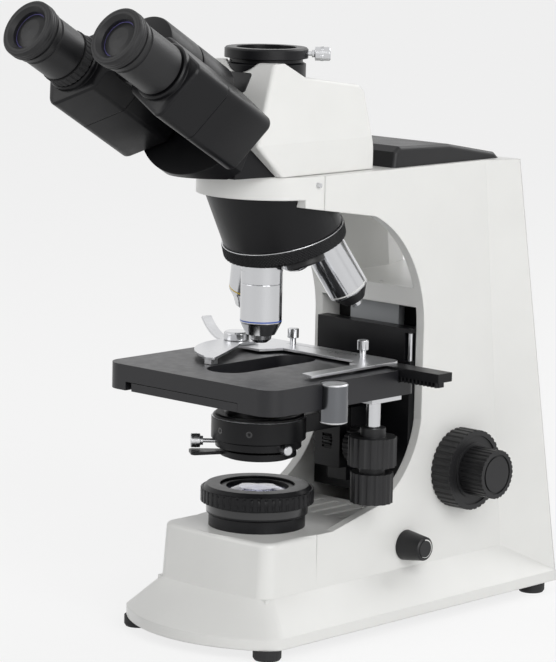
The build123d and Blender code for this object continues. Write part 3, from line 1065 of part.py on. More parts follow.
PARTS = {
    "stand_casting": stand_casting(), "base_cover": base_cover(), "foot_pads": foot_pads(),
    "cover_screws": cover_screws(), "grub_screws": grub_screws(), "handle_cover": handle_cover(),
    "slide_base": slide_base(), "column_panel": column_panel(), "focus_bushes": focus_bushes(),
    "coarse_shaft": coarse_shaft(), "coarse_knobs": coarse_knobs(),
    "fine_shaft": fine_shaft(), "fine_knobs": fine_knobs(),
    "collector_housing": collector_housing(), "field_ring": field_ring(), "field_lens": field_lens(),
    "lamp_bracket": lamp_bracket(), "mirror_plate": mirror_plate(), "lamp_bulb": lamp_bulb(),
    "power_board": power_board(), "dimmer_pot": dimmer_pot(), "power_inlet": power_inlet(),
    "power_rocker": power_rocker(), "brightness_knob": brightness_knob(),
    "carriage": carriage(), "stop_rod": stop_rod(), "focus_rack": focus_rack(), "stage_base": stage_base(),
    "stage_plate": stage_plate(), "stage_posts": stage_posts(),
    "y_drive_knob": y_drive_knob(), "x_drive_knob": x_drive_knob(), "x_bar": x_bar(),
    "slide_holder": slide_holder(), "holder_screws": holder_screws(), "clip_jaw": clip_jaw(),
    "condenser_carrier": condenser_carrier(), "condenser_body": condenser_body(),
    "condenser_lens": condenser_lens(), "condenser_screws": condenser_screws(),
    "aperture_lever": aperture_lever(), "condenser_knob": condenser_knob(),
    "nosepiece_housing": nosepiece_housing(), "turret": turret(),
    "objective_high": objective(0, HIGH, 3.2), "objective_oil": objective(2, OIL, 2.4),
    "objective_middle": objective(4, MIDDLE, 6.2), "objective_low": objective(3, LOW, 7.5),
    "front_lenses": [front_lens(0, 49.2, 3.2), front_lens(2, 49.4, 2.4), front_lens(4, 38, 6.2), front_lens(3, 21, 7.5)],
    "dust_plug": dust_plug(),
    "head_housing": head_housing(), "head_base": head_base(), "prisms": prisms(),
    "phototube": phototube(), "port_screw": port_screw(),
    "wing_right": wing(1), "wing_left": wing(-1),
    "eyepiece_right": [eyepiece(1), eye_lens(1)], "eyepiece_left": [eyepiece(-1), eye_lens(-1)],
    "diopter_ring": diopter_ring(),
}

os.makedirs("parts", exist_ok=True)
shapes = {name: Compound(part) if isinstance(part, list) else part for name, part in PARTS.items()}
boxes = [shape.bounding_box() for shape in shapes.values()]
TO_ORIGIN = Pos(-(min(b.min.X for b in boxes) + max(b.max.X for b in boxes)) / 2,
                -(min(b.min.Y for b in boxes) + max(b.max.Y for b in boxes)) / 2, 0)
for name, shape in shapes.items():
    export_step(TO_ORIGIN * shape, f"parts/{name}.step")
print(len(shapes), "pieces, moved by", TO_ORIGIN.position)
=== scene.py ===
"""Trinocular laboratory microscope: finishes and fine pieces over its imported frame, in metres."""

import json
import logging
from dataclasses import dataclass
from enum import Enum
from math import cos, pi, radians, sin, tan
from typing import Dict, List, Optional, Sequence, Tuple, Union

import bmesh
import bpy
from mathutils import Matrix, Vector


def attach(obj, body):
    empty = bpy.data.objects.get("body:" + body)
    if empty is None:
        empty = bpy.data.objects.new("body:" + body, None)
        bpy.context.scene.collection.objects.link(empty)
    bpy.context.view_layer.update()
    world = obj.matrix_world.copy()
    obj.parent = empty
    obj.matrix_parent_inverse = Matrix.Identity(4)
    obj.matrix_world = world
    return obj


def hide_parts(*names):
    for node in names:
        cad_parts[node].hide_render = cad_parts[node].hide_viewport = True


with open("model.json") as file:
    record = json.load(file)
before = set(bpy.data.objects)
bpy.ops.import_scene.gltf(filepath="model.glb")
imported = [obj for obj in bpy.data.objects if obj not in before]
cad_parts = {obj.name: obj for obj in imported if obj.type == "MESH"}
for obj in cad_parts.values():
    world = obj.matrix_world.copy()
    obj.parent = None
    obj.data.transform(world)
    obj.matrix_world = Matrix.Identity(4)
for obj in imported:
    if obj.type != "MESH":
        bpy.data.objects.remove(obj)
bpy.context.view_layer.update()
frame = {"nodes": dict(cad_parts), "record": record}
LOG = logging.getLogger("microscope")
MM = 0.001
EVEN = (1.0, 1.0, 1.0)
Colour = Tuple[float, float, float]
Point2 = Tuple[float, float]


class Body(Enum):
    """Moving bodies of the frame that the added pieces ride on."""

    STAND = "stand"
    BRIGHTNESS = "brightness"
    STAGE = "stage"
    SLIDE = "slide_carrier"
    CONDENSER = "condenser"
    DIAPHRAGM = "diaphragm_ring"
    TURRET = "turret"
    HEAD = "head"
    PORT = "port_clamp"
    RIGHT_TUBE = "right_tube"
    LEFT_TUBE = "left_tube"
    FINE = "fine_drive"


def optical_axis() -> Vector:
    """Foot of the optical axis on the bench, from the camera port's mount.

    Returns:
        The point in metres.
    """
    for mount in frame["record"]["mounts"]:
        if mount["name"] == "camera_port":
            return Vector((mount["pos_m"][0], mount["pos_m"][1], 0.0))
    return Vector((0.0, 0.0, 0.0))


AXIS = Matrix.Translation(optical_axis())


def place(x: float, y: float, z: float, turns: Sequence[Tuple[float, str]] = ()) -> Matrix:
    """Frame at a point given in millimetres from the optical axis.

    Args:
        x: Distance to the user's right.
        y: Distance to the rear.
        z: Height over the bench.
        turns: Angles in degrees with their axes, applied from left to right.

    Returns:
        The matrix of the frame.
    """
    matrix = AXIS @ Matrix.Translation((x * MM, y * MM, z * MM))
    for angle, axis in turns:
        matrix = matrix @ Matrix.Rotation(radians(angle), 4, axis)
    return matrix


class Socket:
    """A shader socket that takes part in Python expressions."""

    def __init__(self, graph: "NodeGraph", socket: bpy.types.NodeSocket) -> None:
        """Keep the socket with the graph that owns it.

        Args:
            graph: Graph that new Math nodes go into.
            socket: Output socket that carries the value.
        """
        self.graph = graph
        self.socket = socket

    def _math(self, operation: str, first: object, second: object) -> "Socket":
        """Add one Math node.

        Args:
            operation: Name of the Math operation.
            first: Left value.
            second: Right value.

        Returns:
            The node's result.
        """
        return self.graph.node("ShaderNodeMath", {"operation": operation}, {0: first, 1: second})

    def __add__(self, other: object) -> "Socket":
        """Sum with a value on the right.

        Args:
            other: Number or socket that is added.

        Returns:
            The sum.
        """
        return self._math("ADD", self, other)

    def __mul__(self, other: object) -> "Socket":
        """Product with a value on the right.

        Args:
            other: Number or socket that it is multiplied by.

        Returns:
            The product.
        """
        return self._math("MULTIPLY", self, other)

    def maximum(self, other: object) -> "Socket":
        """Larger of this and another value.

        Args:
            other: Number or socket that it is set against.

        Returns:
            The larger value.
        """
        return self._math("MAXIMUM", self, other)


Value = Union[Socket, float, Sequence[float]]


class NodeGraph:
    """Node tree that grows by typed calls."""

    def __init__(self, tree: bpy.types.NodeTree) -> None:
        """Keep the tree.

        Args:
            tree: Tree that new nodes go into.
        """
        self.tree = tree

    def feed(self, socket: bpy.types.NodeSocket, value: Value) -> None:
        """Set or link one input socket.

        Args:
            socket: Input that takes the value.
            value: A number, a vector or another socket.
        """
        if isinstance(value, Socket):
            self.tree.links.new(value.socket, socket)
        elif isinstance(value, (int, float)):
            socket.default_value = value
        elif socket.type == "RGBA" and len(value) == 3:
            socket.default_value = (*value, 1.0)
        else:
            socket.default_value = value

    def node(self, kind: str, settings: Optional[Dict[str, object]] = None,
             values: Optional[Dict[Union[str, int], Value]] = None, out: Union[str, int] = 0) -> Socket:
        """Add a node of any other type.

        Args:
            kind: Blender's name of the node type.
            settings: Properties to set first.
            values: Values or links of the inputs, by name or number.
            out: Output that is handed back.

        Returns:
            The chosen output.
        """
        node = self.tree.nodes.new(kind)
        for key, setting in (settings or {}).items():
            setattr(node, key, setting)
        for key, value in (values or {}).items():
            self.feed(node.inputs[key], value)
        return Socket(self, node.outputs[out])

    def seen(self) -> Socket:
        """One on camera, glossy and transmission rays.

        Returns:
            The mask.
        """
        rays = [self.node("ShaderNodeLightPath", out=name) for name in
                ("Is Camera Ray", "Is Glossy Ray", "Is Transmission Ray")]
        return rays[0].maximum(rays[1]).maximum(rays[2])


class Shader(NodeGraph):
    """Node material with one Principled BSDF."""

    def __init__(self, name: str) -> None:
        """Start an empty material.

        Args:
            name: Name of the material.
        """
        self.material = bpy.data.materials.new(name)
        self.material.use_nodes = True
        super().__init__(self.material.node_tree)
        self.tree.nodes.clear()
        self.output = self.tree.nodes.new("ShaderNodeOutputMaterial")
        self.bsdf = self.tree.nodes.new("ShaderNodeBsdfPrincipled")
        self.tree.links.new(self.bsdf.outputs[0], self.output.inputs["Surface"])
        self._object: Optional[Socket] = None

    def where(self) -> Socket:
        """Object coordinates, which are the frame's own metres.

        Returns:
            The vector, from one node however often it is asked for.
        """
        if self._object is None:
            self._object = self.node("ShaderNodeTexCoord", out="Object")
        return self._object

    def noise(self, scale: float, detail: float = 3.0, stretch: Colour = EVEN) -> Socket:
        """Noise over the object.

        Args:
            scale: Features per metre.
            detail: Octaves of the noise.
            stretch: Factors on the three axes.

        Returns:
            A value around one half.
        """
        at = self.where()
        if stretch != EVEN:
            at = self.node("ShaderNodeVectorMath", {"operation": "MULTIPLY"}, {0: at, 1: stretch})
        return self.node("ShaderNodeTexNoise", None, {"Vector": at, "Scale": scale, "Detail": detail})

    def blend(self, factor: Value, first: Colour, second: Colour) -> Socket:
        """Mix of two colours.

        Args:
            factor: Share of the second colour.
            first: Colour at zero.
            second: Colour at one.

        Returns:
            The mixed colour.
        """
        return self.node("ShaderNodeMix", {"data_type": "RGBA"}, {0: factor, 6: first, 7: second}, out=2)

    def relief(self, height: Socket, depth: float, rounding: float = 0.0) -> None:
        """Send a height through a Bump node to the normal.

        Args:
            height: Height between zero and one.
            depth: Real depth in metres at a height of one.
            rounding: Radius in metres that softens hard edges; zero for none.
        """
        values: Dict[Union[str, int], Value] = {"Height": height, "Distance": depth, "Strength": 1.0}
        if rounding > 0:
            values["Normal"] = self.node("ShaderNodeBevel", {"samples": 4}, {"Radius": rounding})
        self.feed(self.bsdf.inputs["Normal"], self.node("ShaderNodeBump", None, values))

    def put(self, **values: Value) -> None:
        """Set inputs of the Principled BSDF.

        Args:
            **values: Values by the inputs' names, with underscores for spaces.
        """
        for key, value in values.items():
            self.feed(self.bsdf.inputs[key.replace("_", " ")], value)


def shade(colour: Colour, factor: float) -> Colour:
    """Colour scaled by a factor.

    Args:
        colour: Colour to start from.
        factor: Factor on its three parts.

    Returns:
        The scaled colour.
    """
    return (colour[0] * factor, colour[1] * factor, colour[2] * factor)


CLOUD_SCALE = 22.0
MARK_SCALE = 160.0
MARK_STRETCH = (1.0, 1.0, 0.35)
HAZE_SCALE = 60.0
FILM_SCALE = 45.0
COATING_SCALE = 80.0
DUST_GREY = 0.35
GLASS_IOR = 1.52


@dataclass(frozen=True)
class Paint:
    """Sprayed enamel with orange peel, satin sheen and faint handling marks."""

    name: str
    colour: Colour
    slot: str
    roughness: float = 0.38
    peel: float = 0.00002
    peel_scale: float = 1400.0
    coat: float = 0.25
    rounding: float = 0.0006
    specular: float = 0.5

    def make(self) -> bpy.types.Material:
        """Build the material.

        Returns:
            The finished material.
        """
        shader = Shader(self.name)
        cloud = shader.noise(CLOUD_SCALE, 4.0)
        marks = shader.noise(MARK_SCALE, 5.0, MARK_STRETCH)
        shader.put(Base_Color=shader.blend(cloud, shade(self.colour, 0.955), shade(self.colour, 1.04)),
                   Roughness=marks * 0.16 + (self.roughness - 0.08), Coat_Weight=self.coat, Coat_Roughness=0.28,
                   Specular_IOR_Level=self.specular)
        shader.relief(shader.noise(self.peel_scale, 2.0), self.peel, self.rounding)
        return shader.material


@dataclass(frozen=True)
class Metal:
    """Turned, brushed or polished metal with fine tool lines."""

    name: str
    colour: Colour
    slot: str
    roughness: float = 0.25
    lines: Colour = (1.0, 1.0, 14.0)
    depth: float = 0.000004
    scale: float = 900.0
    rounding: float = 0.0003

    def make(self) -> bpy.types.Material:
        """Build the material.

        Returns:
            The finished material.
        """
        shader = Shader(self.name)
        streak = shader.noise(self.scale, 4.0, self.lines)
        haze = shader.noise(HAZE_SCALE, 3.0)
        shader.put(Base_Color=shader.blend(streak, shade(self.colour, 0.9), self.colour), Metallic=1.0,
                   Roughness=haze * 0.14 + streak * 0.06 + (self.roughness - 0.1))
        shader.relief(streak, self.depth, self.rounding)
        return shader.material


@dataclass(frozen=True)
class Moulding:
    """Moulded plastic or rubber with a fine spark-eroded grain."""

    name: str
    colour: Colour
    slot: str
    roughness: float = 0.5
    grain: float = 0.00003
    grain_scale: float = 2600.0
    dust: float = 0.03
    rounding: float = 0.0004
    specular: float = 0.35

    def make(self) -> bpy.types.Material:
        """Build the material.

        Returns:
            The finished material.
        """
        shader = Shader(self.name)
        grain = shader.node("ShaderNodeTexVoronoi", None, {"Vector": shader.where(), "Scale": self.grain_scale})
        film = shader.noise(FILM_SCALE, 5.0)
        pale = tuple(c + (DUST_GREY - c) * self.dust for c in self.colour)
        shader.put(Base_Color=shader.blend(film, self.colour, pale), Roughness=film * 0.2 + (self.roughness - 0.1),
                   Specular_IOR_Level=self.specular)
        shader.relief(grain, self.grain, self.rounding)
        return shader.material


@dataclass(frozen=True)
class Glass:
    """Coated optical glass."""

    name: str
    colour: Colour
    slot: str
    frost: float = 0.02
    clear: float = 0.85

    def make(self) -> bpy.types.Material:
        """Build the material.

        Returns:
            The finished material.
        """
        shader = Shader(self.name)
        film = shader.noise(COATING_SCALE, 3.0)
        shader.put(Base_Color=shader.blend(film, self.colour, shade(self.colour, 0.94)),
                   Roughness=film * 0.04 + self.frost, Coat_Weight=0.6, Coat_Roughness=0.03)
        shader.bsdf.inputs["IOR"].default_value = GLASS_IOR
        shader.bsdf.inputs["Transmission Weight"].default_value = self.clear
        shader.relief(film, 0.000002)
        return shader.material


class Finish(Enum):
    """Finishes of the instrument."""

    WHITE = Paint("white_enamel", (0.78, 0.78, 0.76), "white_paint", 0.36, 0.000012, 1100.0, 0.2, 0.0012)
    BLACK = Paint("black_enamel", (0.005, 0.005, 0.006), "black_paint", 0.36, 0.00003, 1500.0, 0.06, 0.0007, 0.2)
    STAGE = Paint("stage_enamel", (0.008, 0.008, 0.010), "stage_black", 0.4, 0.00003, 2200.0, 0.04, 0.0005, 0.42)
    GREY = Paint("slide_grey", (0.27, 0.28, 0.29), "grey_slide", 0.38, 0.00001, 1500.0, 0.15, 0.0004)
    STEEL = Metal("brushed_steel", (0.66, 0.665, 0.68), "steel", 0.3, (14.0, 1.0, 1.0))
    CHROME = Metal("bright_chrome", (0.62, 0.625, 0.64), "chrome", 0.14, (1.0, 1.0, 18.0), 0.000002, 700.0, 0.0004)
    BRASS = Metal("turned_brass", (0.72, 0.55, 0.26), "brass", 0.28)
    ALUMINIUM = Metal("anodised_aluminium", (0.72, 0.725, 0.74), "aluminium", 0.34, (1.0, 12.0, 1.0))
    MIRROR = Metal("front_mirror", (0.92, 0.92, 0.94), "mirror", 0.11, (1.0, 1.0, 1.0), 0.0000005, 300.0, 0.0)
    PLASTIC = Moulding("black_moulding", (0.006, 0.006, 0.007), "black_plastic", 0.42)
    RUBBER = Moulding("soft_rubber", (0.012, 0.012, 0.013), "black_rubber", 0.7, 0.00005, 1800.0, 0.05)
    BOARD = Moulding("circuit_board", (0.04, 0.17, 0.08), "board_green", 0.4, 0.00002, 900.0, 0.05)
    GLASS = Glass("coated_glass", (0.82, 0.86, 0.92), "glass")
    EYE_GLASS = Glass("violet_coated_glass", (0.55, 0.56, 0.72), "glass", 0.03)
    EYE_COAT = Glass("deep_coated_glass", (0.19, 0.17, 0.44), "glass", 0.04, 0.0)
    BLUE_RING = Paint("blue_ring_paint", (0.03, 0.09, 0.42), "chrome", 0.3, 0.000005, 1800.0, 0.4, 0.0)
    DARK_STEEL = Metal("blued_steel", (0.16, 0.165, 0.175), "steel", 0.24, (1.0, 1.0, 12.0))
    BLACK_GLOSS = Paint("turned_black", (0.012, 0.012, 0.013), "black_paint", 0.22, 0.000004, 1500.0, 0.4, 0.0004)
    YELLOW_RING = Paint("yellow_ring_paint", (0.75, 0.52, 0.03), "chrome", 0.3, 0.000005, 1800.0, 0.4, 0.0)
    WHITE_MARK = Paint("white_mark", (0.75, 0.75, 0.73), "black_paint", 0.5, 0.000004, 1800.0, 0.0, 0.0)


class Wardrobe:
    """Materials made once and handed out by finish."""

    def __init__(self) -> None:
        """Start with no materials made."""
        self.made: Dict[Finish, bpy.types.Material] = {}

    def get(self, finish: Finish) -> bpy.types.Material:
        """Material of a finish, made on first use.

        Args:
            finish: Wanted finish.

        Returns:
            Its material.
        """
        if finish not in self.made:
            self.made[finish] = finish.value.make()
        return self.made[finish]

    def dress(self, node: str, finish: Finish) -> None:
        """Give a CAD node its material.

        Args:
            node: Name of the node.
            finish: Finish of all its slots.
        """
        thing = frame["nodes"][node]
        thing = bpy.data.objects[thing] if isinstance(thing, str) else thing
        for slot in thing.material_slots:
            slot.material = self.get(finish)


def rounded(corners: Sequence[Point2], radius: float, inset: float = 0.0, steps: int = 6) -> List[Point2]:
    """Outline with its corners rounded and its sides moved inwards.

    Args:
        corners: Corners in counter-clockwise order.
        radius: Radius of the rounding before the inset.
        inset: Distance that each side moves inwards.
        steps: Facets of each corner.

    Returns:
        The points, as many for every inset.
    """
    points: List[Point2] = []
    count = len(corners)
    for index in range(count):
        before, here, after = (Vector(corners[(index + k) % count]) for k in (-1, 0, 1))
        one, two = (here - before).normalized(), (after - here).normalized()
        half = one.angle(two) / 2
        inward = (Vector((-one.y, one.x)) + Vector((-two.y, two.x))).normalized()
        centre = here + inward * (radius / cos(half))
        reach = max(radius - inset, 0.05)
        middle = -inward
        for k in range(steps + 1):
            turn = half * (2 * k / steps - 1)
            points.append((centre.x + reach * (middle.x * cos(turn) - middle.y * sin(turn)),
                           centre.y + reach * (middle.x * sin(turn) + middle.y * cos(turn))))
    return points


class Shape:
    """Mesh under construction, in millimetres, with the frame that it is built in."""

    def __init__(self, matrix: Matrix) -> None:
        """Start an empty mesh.

        Args:
            matrix: Frame of the points, in metres.
        """
        self.matrix = matrix
        self.mesh = bmesh.new()

    def turned(self, profile: Sequence[Point2], steps: int = 96, centre: Point2 = (0.0, 0.0)) -> "Shape":
        """Add a ring turned round Z from a closed profile.

        Args:
            profile: Points of radius and height.
            steps: Facets round the axis.
            centre: Place of the axis.

        Returns:
            The shape itself.
        """
        rows = []
        for index in range(steps):
            turn = 2 * pi * index / steps
            rows.append([self.mesh.verts.new((centre[0] + r * cos(turn), centre[1] + r * sin(turn), z))
                         for r, z in profile])
        count = len(profile)
        for index in range(steps):
            here, there = rows[index], rows[(index + 1) % steps]
            for k in range(count):
                m = (k + 1) % count
                self.mesh.faces.new((here[k], there[k], there[m], here[m]))
        return self

    def knurled(self, radius: float, foot: float, top: float, count: int, depth: float, rows: int = 0,
                inner: float = 2.0) -> "Shape":
        """Add a band with straight ribs, or with diamonds where rows are given.

        Args:
            radius: Radius over the ribs.
            foot: Lower end.
            top: Upper end.
            count: Ribs round the band.
            depth: Depth of the grooves.
            rows: Diamonds along the band; zero gives straight ribs.
            inner: Thickness of the band.

        Returns:
            The shape itself.
        """
        around = count * 4
        along = max(2, rows * 4)
        grid = []
        for k in range(along + 1):
            share = k / along
            z = foot + (top - foot) * share
            line = []
            for index in range(around):
                phase = count * index / around
                if rows:
                    first = abs((phase + rows * share) % 1.0 - 0.5) * 2
                    second = abs((phase - rows * share) % 1.0 - 0.5) * 2
                    height = min(1.0, 1.6 * min(first, second))
                else:
                    height = 0.5 + 0.5 * cos(2 * pi * phase)
                chamfer = 1.0 if 0 < k < along else 0.0
                r = radius - depth * (1 - height * chamfer)
                turn = 2 * pi * index / around
                line.append(self.mesh.verts.new((r * cos(turn), r * sin(turn), z)))
            grid.append(line)
        for z, at in ((foot, 0), (top, along + 1)):
            ring = [self.mesh.verts.new(((radius - inner) * cos(2 * pi * i / around),
                                         (radius - inner) * sin(2 * pi * i / around), z)) for i in range(around)]
            grid.insert(at, ring)
        self.skin(grid + grid[:1])
        return self

    def slab(self, outline: Sequence[Point2], foot: float, top: float) -> "Shape":
        """Add a plate from a closed outline.

        Args:
            outline: Corners in order.
            foot: Lower face.
            top: Upper face.

        Returns:
            The shape itself.
        """
        return self.stacked((outline, outline), (foot, top))

    def stacked(self, outlines: Sequence[Sequence[Point2]], heights: Sequence[float]) -> "Shape":
        """Add a body through outlines of equal length at rising heights.

        Args:
            outlines: One outline for each height.
            heights: Heights of the outlines.

        Returns:
            The shape itself.
        """
        rings = [[self.mesh.verts.new((x, y, z)) for x, y in outline] for outline, z in zip(outlines, heights)]
        self.mesh.faces.new(rings[0][::-1])
        self.mesh.faces.new(rings[-1])
        self.skin(rings)
        return self

    def skin(self, rings: Sequence[Sequence[bmesh.types.BMVert]]) -> None:
        """Join neighbouring rings of equal length by four-sided faces.

        Args:
            rings: Rings of vertices in order.
        """
        for low, high in zip(rings[:-1], rings[1:]):
            for index in range(len(low)):
                after = (index + 1) % len(low)
                self.mesh.faces.new((low[index], low[after], high[after], high[index]))

    def box(self, x: Point2, y: Point2, z: Point2) -> "Shape":
        """Add a block between three pairs of limits.

        Args:
            x: Left and right limit.
            y: Front and rear limit.
            z: Lower and upper limit.

        Returns:
            The shape itself.
        """
        return self.slab([(x[0], y[0]), (x[1], y[0]), (x[1], y[1]), (x[0], y[1])], z[0], z[1])

    def finish(self, name: str, body: Body, finish: Finish, wardrobe: Wardrobe,
               smooth: float = 35.0, replaced: Sequence[str] = ()) -> None:
        """Close the mesh and hand it to the frame.

        Args:
            name: Name of the piece.
            body: Body that it rides on.
            finish: Its finish.
            wardrobe: Source of materials.
            smooth: Angle in degrees up to which faces are smooth.
            replaced: CAD nodes that the piece stands for.
        """
        bmesh.ops.recalc_face_normals(self.mesh, faces=self.mesh.faces)
        self.mesh.transform(self.matrix @ Matrix.Diagonal((MM, MM, MM, 1.0)))
        data = bpy.data.meshes.new(name)
        self.mesh.to_mesh(data)
        self.mesh.free()
        thing = bpy.data.objects.new(name, data)
        bpy.context.scene.collection.objects.link(thing)
        data.materials.append(wardrobe.get(finish))
        data.shade_smooth()
        data.set_sharp_from_angle(angle=radians(smooth))
        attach(thing, body.value)
        if replaced:
            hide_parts(*replaced)
        LOG.info("piece %s on %s", name, body.value)


@dataclass
class Assembly:
    """Base of the sub-assemblies: a wardrobe and the finishes of its CAD nodes."""

    wardrobe: Wardrobe

    def nodes(self) -> Dict[str, Finish]:
        """CAD nodes with their finishes.

        Returns:
            The finish of each node by its name.
        """
        return {}

    def pieces(self) -> None:
        """Build the added pieces; none unless a sub-assembly has them."""

    def build(self) -> None:
        """Dress the CAD nodes and build the pieces."""
        for node, finish in self.nodes().items():
            self.wardrobe.dress(node, finish)
            LOG.info("node %s as %s", node, finish.name)
        self.pieces()

    def add(self, shape: Shape, name: str, body: Body, finish: Finish, smooth: float = 35.0,
            replaced: Sequence[str] = ()) -> None:
        """Close a shape as a piece of this sub-assembly.

        Args:
            shape: Shape to close.
            name: Name of the piece.
            body: Body that it rides on.
            finish: Its finish.
            smooth: Angle in degrees up to which faces are smooth.
            replaced: CAD nodes that the piece stands for.
        """
        shape.finish(name, body, finish, self.wardrobe, smooth=smooth, replaced=replaced)


@dataclass
class Stand(Assembly):
    """Casting, column, base cover and everything fixed in them."""

    neck: float = 31.0
    field_top: float = 95.5
    field_ring: float = 36.3
    field_ribs: int = 110

    def nodes(self) -> Dict[str, Finish]:
        """CAD nodes with their finishes.

        Returns:
            The finish of each node by its name.
        """
        return {"stand_casting": Finish.WHITE, "base_cover": Finish.BLACK, "foot_pads": Finish.RUBBER,
                "cover_screws": Finish.STEEL, "grub_screws": Finish.STEEL, "handle_cover": Finish.PLASTIC,
                "slide_base": Finish.GREY, "column_panel": Finish.BLACK, "focus_bushes": Finish.BRASS,
                "lamp_bracket": Finish.ALUMINIUM, "mirror_plate": Finish.MIRROR, "lamp_bulb": Finish.GLASS,
                "collector_housing": Finish.BLACK, "field_lens": Finish.EYE_GLASS, "power_board": Finish.BOARD,
                "dimmer_pot": Finish.ALUMINIUM, "power_inlet": Finish.PLASTIC, "power_rocker": Finish.PLASTIC,
                "nosepiece_housing": Finish.BLACK, "field_ring": Finish.BLACK}

    def pieces(self) -> None:
        """Gloss turned band and the ribs of the field ring."""
        inner, outer = self.neck + 1.2, self.neck + 1.62
        band = [(inner, self.field_top - 17.2), (outer, self.field_top - 17.0), (outer, self.field_top - 12.4),
                (inner, self.field_top - 12.2)]
        self.add(Shape(place(0, 0, 0)).turned(band, 128), "field_band", Body.STAND, Finish.BLACK_GLOSS)
        ribs = Shape(place(0, 0, 0)).knurled(self.field_ring + 0.12, self.field_top - 8.0, self.field_top - 2.2,
                                             self.field_ribs, 0.55, 0, 1.4)
        self.add(ribs, "field_ribs", Body.DIAPHRAGM, Finish.BLACK)


@dataclass
class Focus(Assembly):
    """Coarse and fine drives with the carriage that they lift."""

    axis_y: float = 141.6
    axis_z: float = 94.5
    fine_end: float = 82.0
    dial_x: float = 64.9
    dial_y: float = 91.5
    dial_z: float = 49.4
    mark_steps: int = 28
    mark_start: float = -30.0
    mark_sweep: float = 215.0
    mark_inner: float = 5.55
    mark_thin: float = 0.2
    mark_growth: float = 0.55

    def nodes(self) -> Dict[str, Finish]:
        """CAD nodes with their finishes.

        Returns:
            The finish of each node by its name.
        """
        return {"coarse_shaft": Finish.STEEL, "coarse_knobs": Finish.PLASTIC, "fine_shaft": Finish.STEEL,
                "fine_knobs": Finish.PLASTIC, "carriage": Finish.BLACK, "focus_rack": Finish.BRASS,
                "stop_rod": Finish.STEEL, "brightness_knob": Finish.PLASTIC}

    def pieces(self) -> None:
        """Caps in the faces of the fine knobs and the mark on the brightness knob."""
        profile = [(0.02, -0.6), (7.2, -0.6), (7.2, 0.5), (6.6, 1.0), (1.4, 1.0), (0.9, 0.7), (0.02, 0.7)]
        for side, word in ((1, "right"), (-1, "left")):
            at = place(side * (self.fine_end - 1.2), self.axis_y, self.axis_z, ((90 * side, "Y"),))
            self.add(Shape(at).turned(profile, 64), f"fine_cap_{word}", Body.FINE, Finish.PLASTIC)
        self.dial_mark()

    def dial_mark(self) -> None:
        """White arc that widens round the face of the brightness knob."""
        outer, inner = [], []
        for index in range(self.mark_steps + 1):
            share = index / self.mark_steps
            turn = radians(self.mark_start + self.mark_sweep * share)
            reach = self.mark_inner + self.mark_thin + self.mark_growth * share
            outer.append((reach * cos(turn), reach * sin(turn)))
            inner.append((self.mark_inner * cos(turn), self.mark_inner * sin(turn)))
        at = place(self.dial_x, self.dial_y, self.dial_z, ((90, "Y"),))
        self.add(Shape(at).slab(outer + inner[::-1], -0.3, 0.06), "brightness_mark", Body.BRIGHTNESS,
                 Finish.WHITE_MARK)


@dataclass
class Stage(Assembly):
    """Two stage plates, the coaxial drive, guide bar and slide holder."""

    bar_front: float = 51.2
    holder_top: float = 176.0
    step: float = 1.0
    rule_marks: int = 61
    rule_start: float = -30.0
    mark_half: float = 0.09
    stage_top: float = 172.8
    stage_thickness: float = 16.5
    post_x: float = 74.5
    post_y: float = -12.0
    post_radius: float = 8.7
    post_foot: float = 147.5
    drive_x: float = 60.0
    drive_y: float = 42.0
    collar_top: float = 135.7

    def nodes(self) -> Dict[str, Finish]:
        """CAD nodes with their finishes.

        Returns:
            The finish of each node by its name.
        """
        return {"stage_base": Finish.STAGE, "stage_plate": Finish.STAGE, "stage_posts": Finish.STEEL,
                "y_drive_knob": Finish.PLASTIC, "x_drive_knob": Finish.PLASTIC, "x_bar": Finish.BLACK,
                "slide_holder": Finish.STEEL, "holder_screws": Finish.CHROME, "clip_jaw": Finish.STEEL}

    def pieces(self) -> None:
        """Side post, drive column's flange and the rule on the holder's rear edge."""
        r, foot, top = self.post_radius, self.post_foot, self.stage_top - 0.5
        post = [(0.02, foot), (r - 1.1, foot), (r + 0.05, foot + 1.1), (r + 0.05, top - 1.2), (r - 0.9, top - 0.2),
                (2.4, top - 0.2), (2.2, top - 0.8), (0.02, top - 0.8)]
        self.add(Shape(place(self.post_x, self.post_y, 0)).turned(post), "side_post", Body.STAGE, Finish.DARK_STEEL)
        under, collar = self.stage_top - self.stage_thickness, self.collar_top + 0.6
        flange = [(4.45, collar), (4.6, collar), (4.6, under - 3.4), (8.6, under - 3.1), (8.6, under - 2.9),
                  (4.45, under - 2.9)]
        self.add(Shape(place(self.drive_x, self.drive_y, 0)).turned(flange), "column_flange", Body.STAGE,
                 Finish.CHROME)
        self.add(self.rule(), "holder_rule", Body.SLIDE, Finish.BLACK)

    def rule(self) -> Shape:
        """Millimetre rule with longer marks at fives and tens.

        Returns:
            The shape of its marks.
        """
        shape = Shape(place(0, 0, 0))
        rear = self.bar_front + 9.0
        for index in range(self.rule_marks):
            x = self.rule_start + index * self.step
            length = 3.2 if index % 10 == 0 else (2.4 if index % 5 == 0 else 1.6)
            shape.box((x - self.mark_half, x + self.mark_half), (rear - length, rear),
                      (self.holder_top - 0.05, self.holder_top + 0.03))
        return shape


